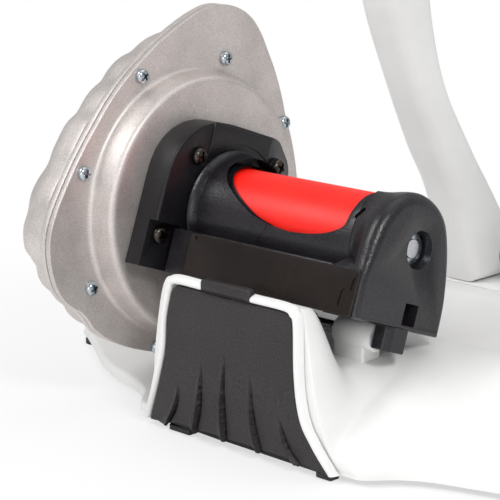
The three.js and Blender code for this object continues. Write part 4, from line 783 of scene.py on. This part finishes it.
CROWN_EDGE = 2.6
EDGE_ROWS = (0, 0.1, 0.3, 0.6, 1.0, 1.5, 2.1, 2.8)


def crown_ring(x):
    """Section of the crown's shell, from the rear skirt over the top and back along the underside."""
    rear, front = soft_rear_edge(x), ridge_y(x)
    curled = 1 - fade(abs(x), 64, 78)
    edge = min(CROWN_EDGE, (crown_top(x, rear) - SKIRT) * 0.6)
    end_wall = abs(x) > LEG_REACH - WALL
    flat = EDGE_ROWS[-1]
    ys = [rear + r for r in EDGE_ROWS]
    ys += [rear + flat + (front - rear - 2 * flat) * k / 34 for k in range(1, 34)]
    ys += [front - r for r in reversed(EDGE_ROWS)]

    def top(y):
        return crown_top(x, y) - max(rounding(y - rear, edge), rounding(front - y, edge),
                                     rounding(LEG_REACH - abs(x), CROWN_EDGE))
    ring = []
    start = top(rear)
    for k in range(12):
        z = SKIRT + (start - SKIRT) * k / 12
        ring.append((x, rear + curl(z) * curled, z))
    for y in ys:
        z = top(y)
        lean = curl(z) * curled * (1 - fade(y, rear, rear + 12))
        ring.append((x, y + lean, z))
    end = top(front)
    ring += [(x, front, end + (SKIRT - end) * k / 5) for k in range(1, 6)]
    inner_front, inner_rear = front - WALL, rear + WALL
    ring.append((x, inner_front, SKIRT))
    for k in range(21):
        y = inner_front + (inner_rear - inner_front) * k / 20
        z = min(crown_top(x + dx, y + dy) for dx in (-WALL, 0, WALL) for dy in (-WALL, 0, WALL)) - WALL
        z = SKIRT + 0.02 if end_wall else max(z, SKIRT + 0.5)
        ring.append((x, y + curl(z) * curled * (1 - fade(y, inner_rear, inner_rear + 12)), z))
    start = ring[-1][2]
    for k in range(1, 9):
        z = start + (SKIRT - start) * k / 8
        ring.append((x, inner_rear + curl(z) * curled, z))
    return ring


# Sections from the middle to the right end, closer together over the column's flank and at the end
half, x = [], 0.0
while x < 196.9:
    half.append(x)
    x += 1.5 if 40 <= x <= 104 else 4.0
half += [196.9, 197.1, 197.4, 197.8, 198.4, 199.0, 199.5, 199.9, LEG_REACH]
base = from_rings("base_cover", [crown_ring(x) for x in [-x for x in reversed(half[1:])] + half])


def tongue_outline(inset_by):
    """Plan of the tongue, which is narrow in the middle and starts inside the crown."""
    wide, narrow = 116 - inset_by, 84 - inset_by
    start, end = 66 - inset_by, TONGUE_END - inset_by
    middle, corner, inside_crown = (RIDGE_Y + TONGUE_END) / 2, 22, 58
    left = bend((-wide, start), (-narrow, middle), (-narrow, start), 15)[3:]
    left = [(left[0][0], inside_crown)] + left
    left += bend((-narrow, middle), (-wide, end - corner), (-narrow, end - corner), 12)[1:]
    left += [(-wide, end)]
    return left + [(-x, y) for x, y in reversed(left)]


tongue = prism("tongue", tongue_outline(0), SKIRT, TONGUE_TOP, "z", WORLD, 0, 1.6, 4)
boolean(tongue, [prism("hollow", tongue_outline(WALL), -2, TONGUE_TOP - WALL, "z")])
boolean(base, [tongue], "UNION")

# Knuckles of the unit's hinge, and ribs under the shell
for a, b in ((-49, -25), (27.4, 51.4)):
    profile = [(a, ON_AXIS), (a, 5.9), (a + 0.3, 6.5), (a + 1, 6.9),
               (b - 1, 6.9), (b - 0.3, 6.5), (b, 5.9), (b, ON_AXIS)]
    seat = prism("seat", rectangle(20.6, 45.4, 33.1, 56), a + 0.7, b - 5, "x", WORLD, 0.8, 0.8, 3)
    boolean(base, [lathe("knuckle", profile, WORLD, 40, HINGE), seat], "UNION")
boolean(base, [rod(-60, 60, 3.35, WORLD, 24, HINGE)])
boolean(base, [box("rib", (-46, -6, 2.9), (46, 6, 12)), box("rib", (-45, -1.5, 2.9), (45, 1.5, 48))], "UNION")
for x in (-42, 0, 42):
    boolean(base, [box("rib", (x - 1.5, 66, 3), (x + 1.5, 274.5, 10.5))], "UNION")
for x in (-30, 30):
    boolean(base, [rod(270, 282, 1.9, WORLD, 16, (x, 6), "y")])
finish(base, WHITE, "base", ["base_shell"], sharp=40)


# Rear foot: pad edges as (x, z) on the curled face, and the border's outer edge beside them
PAD_LEFT = [
    (-61.1, 3.1), (-50.2, 22.1), (-42.6, 41.6), (-40.8, 59.3), (-38.2, 70.0), (-36.6, 74.6),
    (-33.5, 77.4),
]
RIM_LEFT = [
    (-65.4, 3.4), (-54.7, 22.5), (-47.6, 42.0), (-44.8, 58.7), (-42.8, 71.0), (-41.0, 77.6),
    (-35.6, 81.9),
]
PAD_TOP = [(-13.9, 77.6), (18.3, 77.6)]
RIM_TOP = [(-13.9, 82.0), (18.3, 81.6)]
PAD_RIGHT = [
    (37.6, 77.5), (41.2, 75.8), (42.9, 72.5), (43.5, 50.1), (46.2, 28.1), (51.1, 16.8), (56.8, 6.4),
    (58.9, 3.1),
]
RIM_RIGHT = [
    (39.0, 81.4), (44.6, 78.6), (47.0, 73.0), (47.6, 50.6), (50.4, 29.2), (54.9, 18.6), (60.4, 8.4),
    (63.2, 3.4),
]
FACE_Y = -20.3
# The border's section, as shares of its width and depths
RIM_SECTION = [
    (0.1, 0.0), (0.1, 2.4), (0.13, 3.3), (0.22, 3.9), (0.38, 4.2), (0.6, 4.1), (0.76, 3.6), (0.88, 2.6),
    (1.0, 1.0), (1.0, 0.0),
]


def between(line, z):
    """x of an edge line at height z."""
    rows = sorted(line, key=lambda p: p[1])
    z = min(max(z, rows[0][1]), rows[-1][1])
    for (x0, z0), (x1, z1) in zip(rows, rows[1:]):
        if z <= z1:
            return x0 + (x1 - x0) * (z - z0) / max(z1 - z0, 1e-6)
    return rows[-1][0]


edges = [a + b for a, b in zip(PAD_LEFT + PAD_TOP + PAD_RIGHT, RIM_LEFT + RIM_TOP + RIM_RIGHT)]
rings = []
for x_in, z_in, x_out, z_out in catmull(edges, 7):
    ring = []
    for across, depth in RIM_SECTION:
        x, z = x_in + (x_out - x_in) * across, z_in + (z_out - z_in) * across
        ring.append((x, FACE_Y - depth + curl(z), z))
    rings.append(ring)
finish(from_rings("foot_rim", rings), WHITE, "base", ["foot_border"], sharp=50)

# Fins as (x, z) of their crests, from the lower edge up
FINS = [
    [(-50.1, 1.3), (-42.1, 10), (-36.9, 18.9), (-34.3, 28.7)],
    [(-27.6, 4.7), (-22.2, 16), (-19.3, 27.3), (-17.1, 43.3)],
    [(-7.4, 4.4), (-5.0, 17), (-3.5, 30.9), (-1.4, 50.5)],
    [(15.6, 4.9), (15.2, 19.5), (15.1, 33), (14.6, 43.9)],
    [(42.7, 1.1), (36.4, 8.9), (33.5, 18.8), (31.6, 27.1)],
]
FINS = [catmull(line, 5) for line in FINS]
PAD_BOTTOM, PAD_HIGH, FIN_HEIGHT, FIN_GROOVE = 3.1, 77.3, 3.0, 1.7


def pleat(x, z):
    """Fins that swell from the left and drop into a groove on their right."""
    proud = 0.0
    for line in FINS:
        along = (z - line[0][1]) / (line[-1][1] - line[0][1])
        if along > 1:
            continue
        off = x - between(line, z)
        grow = 1 - fade(along, 0.15, 1.0)
        wide = 1.4 + 4.4 * (1 - along)
        if -wide < off <= 0:
            proud = max(proud, FIN_HEIGHT * grow * (1 + off / wide) ** 1.7)
        elif 0 < off < 2.0:
            groove = FIN_GROOVE * grow ** 0.5 * fade(off, 0.1, 0.5) * (1 - fade(off, 0.8, 2.0))
            proud = FIN_HEIGHT * grow * (1 - fade(off, 0, 0.4)) - groove
    return proud


COLUMNS, ROWS = 330, 80
pad_left, pad_right = catmull(PAD_LEFT, 6), catmull(PAD_RIGHT, 6)
pad_rings = []
for row in range(ROWS + 1):
    level = PAD_BOTTOM + (PAD_HIGH - PAD_BOTTOM) * row / ROWS
    x0, x1 = between(pad_left, level) + 0.1, between(pad_right, level) - 0.1
    ring = []
    for column in range(COLUMNS + 1):
        x = x0 + (x1 - x0) * column / COLUMNS
        near = min(x - x0, x1 - x, PAD_HIGH - level, level - PAD_BOTTOM)
        proud = pleat(x, level)
        raised = 1.9 - 2.3 * fade(abs(x), 34, 60) - 0.6 * max(proud, 0)
        z = level + raised * (1 - row / ROWS) ** 6
        soft = rounding(near, 0.8) - proud * fade(near, -1.0, 1.2)
        ring.append((x, FACE_Y - 3.0 + curl(z) + soft, z))
    z = ring[0][2]
    ring += [(x1, FACE_Y - 0.05 + curl(z), ring[-1][2]), (x0, FACE_Y - 0.05 + curl(z), z)]
    pad_rings.append(ring)
finish(from_rings("foot_skin", pad_rings), RUBBER, "base", ["foot_pad"], sharp=55)

# Small stubs under the pad's lower corners
for which, (x0, x1) in {"left": (-48.2, -33.6), "right": (50.0, 59.6)}.items():
    outline = filleted(rectangle(x0, -15.4, x1, -9), 1.2, 4)
    finish(prism(f"{which}_stub", outline, 0.05, 2.9, "z", WORLD, 0.5, 0.3, 3), RUBBER, "base")

outline = filleted(rectangle(-15.4, 78.1, 17.0, 84.0), [0.6, 0.6, 2.2, 2.2], 5)
tab = prism("foot_tab", outline, -24.9, -20.9, "y", WORLD, 0.9, 0.6, 4)
finish(tab, RUBBER, "base", ["stop_tab"])
sole = prism("foot_sole", filleted(rectangle(-46, -6, 46, 6), 2.5), 0, 2.6, "z", WORLD, 0.4, 0.3, 3)
finish(sole, RUBBER, "base", ["rear_sole"])


# Fork: crescent arms with rounded flanks
ARM_RISE = AXLE[1] - FORK[1]
ARM_INNER, ARM_OUTER, ARM_EDGE, ARM_BORE = 90, 117, 7.0, 9.2
HUB_RADIUS, PIVOT_RADIUS, HEEL = 20.5, 13.5, 12.6


def arm_points(shares):
    """Points of an arm, given from the pivot as shares of the axle's height over it."""
    return [(FORK[0] + back_share * ARM_RISE, FORK[1] + up_share * ARM_RISE)
            for back_share, up_share in shares]


rear_line = arm_points([
    (-0.152, 0.126), (-0.203, 0.212), (-0.263, 0.331), (-0.323, 0.469), (-0.361, 0.629), (-0.340, 0.770),
    (-0.262, 0.900)])
rear_line = catmull([(280, HEEL)] + rear_line + [on_circle(*AXLE, HUB_RADIUS, 160)], 8)
front_line = arm_points([
    (-0.160, 0.850), (-0.207, 0.730), (-0.225, 0.600), (-0.218, 0.466), (-0.178, 0.328), (-0.105, 0.210),
    (-0.040, 0.121)])
front_line = [on_circle(*AXLE, HUB_RADIUS, -70)] + front_line + [on_circle(*FORK, PIVOT_RADIUS, 20)]
arm_line = [(FORK[0], HEEL)] + rear_line + arc(*AXLE, HUB_RADIUS, 150, -62, 26)
arm_line += catmull(front_line, 8) + arc(*FORK, PIVOT_RADIUS, 12, -80, 12)
for side, which in ((-1, "left"), (1, "right")):
    a, b = sorted((side * ARM_INNER, side * ARM_OUTER))
    arm = prism(f"{which}_crescent", arm_line, a, b, "x", WORLD, ARM_EDGE, ARM_EDGE, 7)
    boolean(arm, [rod(a - 3, b + 3, ARM_BORE, WORLD, 48, centre) for centre in (AXLE, FORK)])
    finish(arm, WHITE, "fork", [f"{which}_arm"], sharp=50)


def turned(name, node, body, material, centre, profile, side=1, sides=56):
    """A turned piece about the x axis, mirrored where side is -1."""
    points = [(side * along, max(radius, ON_AXIS)) for along, radius in profile]
    finish(lathe(name, points, WORLD, sides, centre), material, body, [node], sharp=35)


CUP = [
    (71, 10), (71, 12), (71.4, 12.7), (72.2, 13), (79.6, 13), (80.6, 12.7), (82.6, 10.7), (83, 9.8),
    (83, 0), (79, 0), (79, 7.5), (71, 10),
]
PLUG = [
    (105.3, 0), (105.3, 6.7), (117.3, 6.7), (117.3, 12.5), (119.1, 12.5), (119.8, 12.0), (120.2, 11.2),
    (120.3, 10.2), (120.3, 4), (119.6, 3.2), (119.6, 0),
]
for side, which in ((-1, "left"), (1, "right")):
    turned(f"{which}_cup", f"{which}_axle_cup", f"{which}_slider", STEEL, AXLE, CUP, side)
    turned(f"{which}_tube_plug", f"{which}_fork_plug", "fork", BLACK, FORK, PLUG, side)
TUBE = [(-117, 7), (-117, 8.6), (-116.6, 9), (116.6, 9), (117, 8.6), (117, 7), (-117, 7)]
turned("cross_tube", "fork_tube", "fork", STEEL, FORK, TUBE)
RIGHT_SLEEVE = [
    (89.7, 6.4), (89.7, 9), (117.3, 9), (117.3, 13.4), (117.9, 14), (119.7, 14), (120.3, 13.4),
    (120.3, 6.4), (89.7, 6.4),
]
turned("right_bush", "right_sleeve", "fork", STEEL, AXLE, RIGHT_SLEEVE)
LEFT_SLEEVE = [(89.7, 6.4), (89.7, 9), (120.8, 9), (120.8, 6.4), (89.7, 6.4)]
turned("left_bush", "left_sleeve", "fork", STEEL, AXLE, LEFT_SLEEVE, -1)
lo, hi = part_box("left_spindle")
tip = -lo[0] / MM
PUSHER = [(83.3, 0), (83.3, 5.6), (83.7, 6), (tip - 0.6, 6), (tip, 5.4), (tip, 0)]
turned("left_pusher", "left_spindle", "left_slider", STEEL, AXLE, PUSHER, -1)
THREAD = [(83.3, 0), (83.3, 5.4), (83.9, 6), (88.6, 6)]
THREAD_START, PITCH = 89, 2
for k in range(19):
    x = THREAD_START + PITCH * k
    THREAD += [(x, 6), (x + 0.5, 5.55), (x + 1.0, 5.55), (x + 1.5, 6)]
THREAD += [(127.5, 6), (144.8, 6), (144.8, 0)]
turned("right_screw", "right_spindle", "knob", STEEL, AXLE, THREAD, 1, 40)
lo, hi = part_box("hinge_pin")
head, tip = lo[0] / MM, hi[0] / MM
PIN = [
    (head, 0), (head, 4.3), (head + 0.5, 5), (head + 1.6, 5), (head + 2, 4.6), (head + 2, 3),
    (tip - 0.8, 3), (tip, 2.2), (tip, 0),
]
turned("hinge_rod", "hinge_pin", "base", STEEL, HINGE, PIN)

# Lobed knob with a recessed face
KNOB_X = (130.3, 152.3)
KNOB_RADIUS, KNOB_SIDES, LOBES, LOBE_DEPTH = 19, 210, 7, 1.8
lobes = []
for k in range(KNOB_SIDES):
    a = 2 * math.pi * k / KNOB_SIDES
    r = KNOB_RADIUS - LOBE_DEPTH * (0.5 - 0.5 * math.cos(LOBES * a)) ** 1.6
    lobes.append((AXLE[0] + r * math.cos(a), AXLE[1] + r * math.sin(a)))
knob = prism("knob_grip", lobes, *KNOB_X, "x", WORLD, 2.0, 2.6, 6)
recess = [(147.9, ON_AXIS), (147.9, 11.0), (148.6, 12.2), (156, 13.4), (156, ON_AXIS)]
boolean(knob, [lathe("recess", recess, WORLD, 64, AXLE), rod(120, 145.1, 6.3, WORLD, 40, AXLE)])
boss = [(147.0, 3.2), (147.0, 7.4), (149.4, 7.4), (150.2, 6.6), (150.2, 4.0), (149.4, 3.2), (147.0, 3.2)]
boolean(knob, [lathe("boss", boss, WORLD, 48, AXLE)], "UNION")
finish(knob, BLACK, "knob", ["adjuster_knob"], sharp=35)


# The other nodes keep their solids, with merged and lightly rounded edges
MERGE_DISTANCE = 0.00001


def edge_softener():
    """Merges an imported solid's points, and shades smooth over all but its sharp edges."""
    group = bpy.data.node_groups.new("soft_edges", "GeometryNodeTree")
    group.interface.new_socket("Geometry", in_out="INPUT", socket_type="NodeSocketGeometry")
    group.interface.new_socket("Geometry", in_out="OUTPUT", socket_type="NodeSocketGeometry")
    start, end = group.nodes.new("NodeGroupInput"), group.nodes.new("NodeGroupOutput")
    bare = group.nodes.new("GeometryNodeRemoveAttribute")
    bare.inputs["Name"].default_value = "custom_normal"
    merge = group.nodes.new("GeometryNodeMergeByDistance")
    merge.inputs["Distance"].default_value = MERGE_DISTANCE
    angle = group.nodes.new("GeometryNodeInputMeshEdgeAngle")
    compare = group.nodes.new("FunctionNodeCompare")
    compare.operation = "LESS_THAN"
    compare.inputs["B"].default_value = math.radians(35)
    faces = group.nodes.new("GeometryNodeSetShadeSmooth")
    edges = group.nodes.new("GeometryNodeSetShadeSmooth")
    edges.domain = "EDGE"
    chain = (start, bare, merge, faces, edges, end)
    for node, following in zip(chain, chain[1:]):
        group.links.new(node.outputs[0], following.inputs[0])
    group.links.new(angle.outputs["Unsigned Angle"], compare.inputs["A"])
    group.links.new(compare.outputs["Result"], edges.inputs["Shade Smooth"])
    return group


SOFT = edge_softener()
# Radii of the rounded edges
ROUNDED = {"front_foot": 1.2, "quick_lever": 1.2, "lever_bracket": 0.5, "hinge_clip": 0.15, "impeller": 0.3}
slots = {part["node"]: part["material_slot"] for part in frame["record"]["subparts"]}
for name, obj in nodes.items():
    obj.data.materials.clear()
    obj.data.materials.append(SLOT_MATERIALS[slots[name]])
    if name in ROUNDED:
        weld = obj.modifiers.new("weld", "WELD")
        weld.merge_threshold = MERGE_DISTANCE
        rounder = obj.modifiers.new("bevel", "BEVEL")
        rounder.width = ROUNDED[name] * MM
        rounder.segments = 3
        rounder.limit_method = "ANGLE"
        rounder.angle_limit = math.radians(32)
        rounder.use_clamp_overlap = True
    soft_edges = obj.modifiers.new("soft_edges", "NODES")
    soft_edges.node_group = SOFT


def camera_mix(tree, share, usual, shown, output):
    """Puts a second shader over the usual one, by a share that is above 0 only for the camera."""
    mix = tree.nodes.new("ShaderNodeMixShader")
    tree.links.new(share, mix.inputs["Fac"])
    tree.links.new(usual, mix.inputs[1])
    tree.links.new(shown, mix.inputs[2])
    tree.links.new(mix.outputs["Shader"], output.inputs["Surface"])


def glow(tree, kind, strength):
    """Output of a white shader that gives off light."""
    node = tree.nodes.new(kind)
    node.inputs["Color"].default_value = (1, 1, 1, 1)
    node.inputs["Strength"].default_value = strength
    return node.outputs[0]


# Stage: the floor is seen mostly by its own white, and keeps the shadow
FLOOR_Z, FLOOR_CENTRE = -0.0003, (0.0, 0.1, 0.0)
floor = mesh_object("floor", [(*p, FLOOR_Z) for p in rectangle(-6, -6, 6, 6)], [(0, 1, 2, 3)])
mat, tree, bsdf = new_material("floor")
bsdf.inputs["Base Color"].default_value = (0.9, 0.9, 0.9, 1)
bsdf.inputs["Roughness"].default_value = 0.9
bsdf.inputs["Specular IOR Level"].default_value = 0.1
tex = tree.nodes.new("ShaderNodeTexCoord")
away = tree.nodes.new("ShaderNodeVectorMath")
away.operation = "DISTANCE"
away.inputs[1].default_value = FLOOR_CENTRE
tree.links.new(tex.outputs["Object"], away.inputs[0])
near = spread(tree, away.outputs["Value"], 0.62, 1.0, 0.14, 0.46)
path = tree.nodes.new("ShaderNodeLightPath")
share = tree.nodes.new("ShaderNodeMath")
share.operation = "MULTIPLY"
tree.links.new(path.outputs["Is Camera Ray"], share.inputs[0])
tree.links.new(near, share.inputs[1])
camera_mix(tree, share.outputs[0], bsdf.outputs["BSDF"], glow(tree, "ShaderNodeEmission", 1.0),
           tree.nodes["Material Output"])
floor.data.materials.append(mat)

# White surroundings, which light the part less than they show
world = bpy.data.worlds.new("world")
scene.world = world
world.use_nodes = True
tree = world.node_tree
tree.nodes.clear()
path = tree.nodes.new("ShaderNodeLightPath")
camera_mix(tree, path.outputs["Is Camera Ray"], glow(tree, "ShaderNodeBackground", 0.44),
           glow(tree, "ShaderNodeBackground", 1.0), tree.nodes.new("ShaderNodeOutputWorld"))

LAMP_TARGET = Vector((0, 0.1, 0.1))


def lamp(name, place, size, watts):
    """A square lamp that looks at the part."""
    data = bpy.data.lights.new(name, "AREA")
    data.size = size
    data.energy = watts
    obj = bpy.data.objects.new(name, data)
    scene.collection.objects.link(obj)
    obj.location = place
    obj.rotation_euler = (LAMP_TARGET - Vector(place)).to_track_quat("-Z", "Y").to_euler()


lamp("key", (-0.9, -1.4, 1.8), 1.0, 21)
lamp("fill", (1.5, -0.6, 1.35), 0.4, 17)
lamp("front", (0.8, -1.9, 0.4), 1.2, 10)
lamp("top", (0.2, 0.6, 2.0), 1.6, 8)
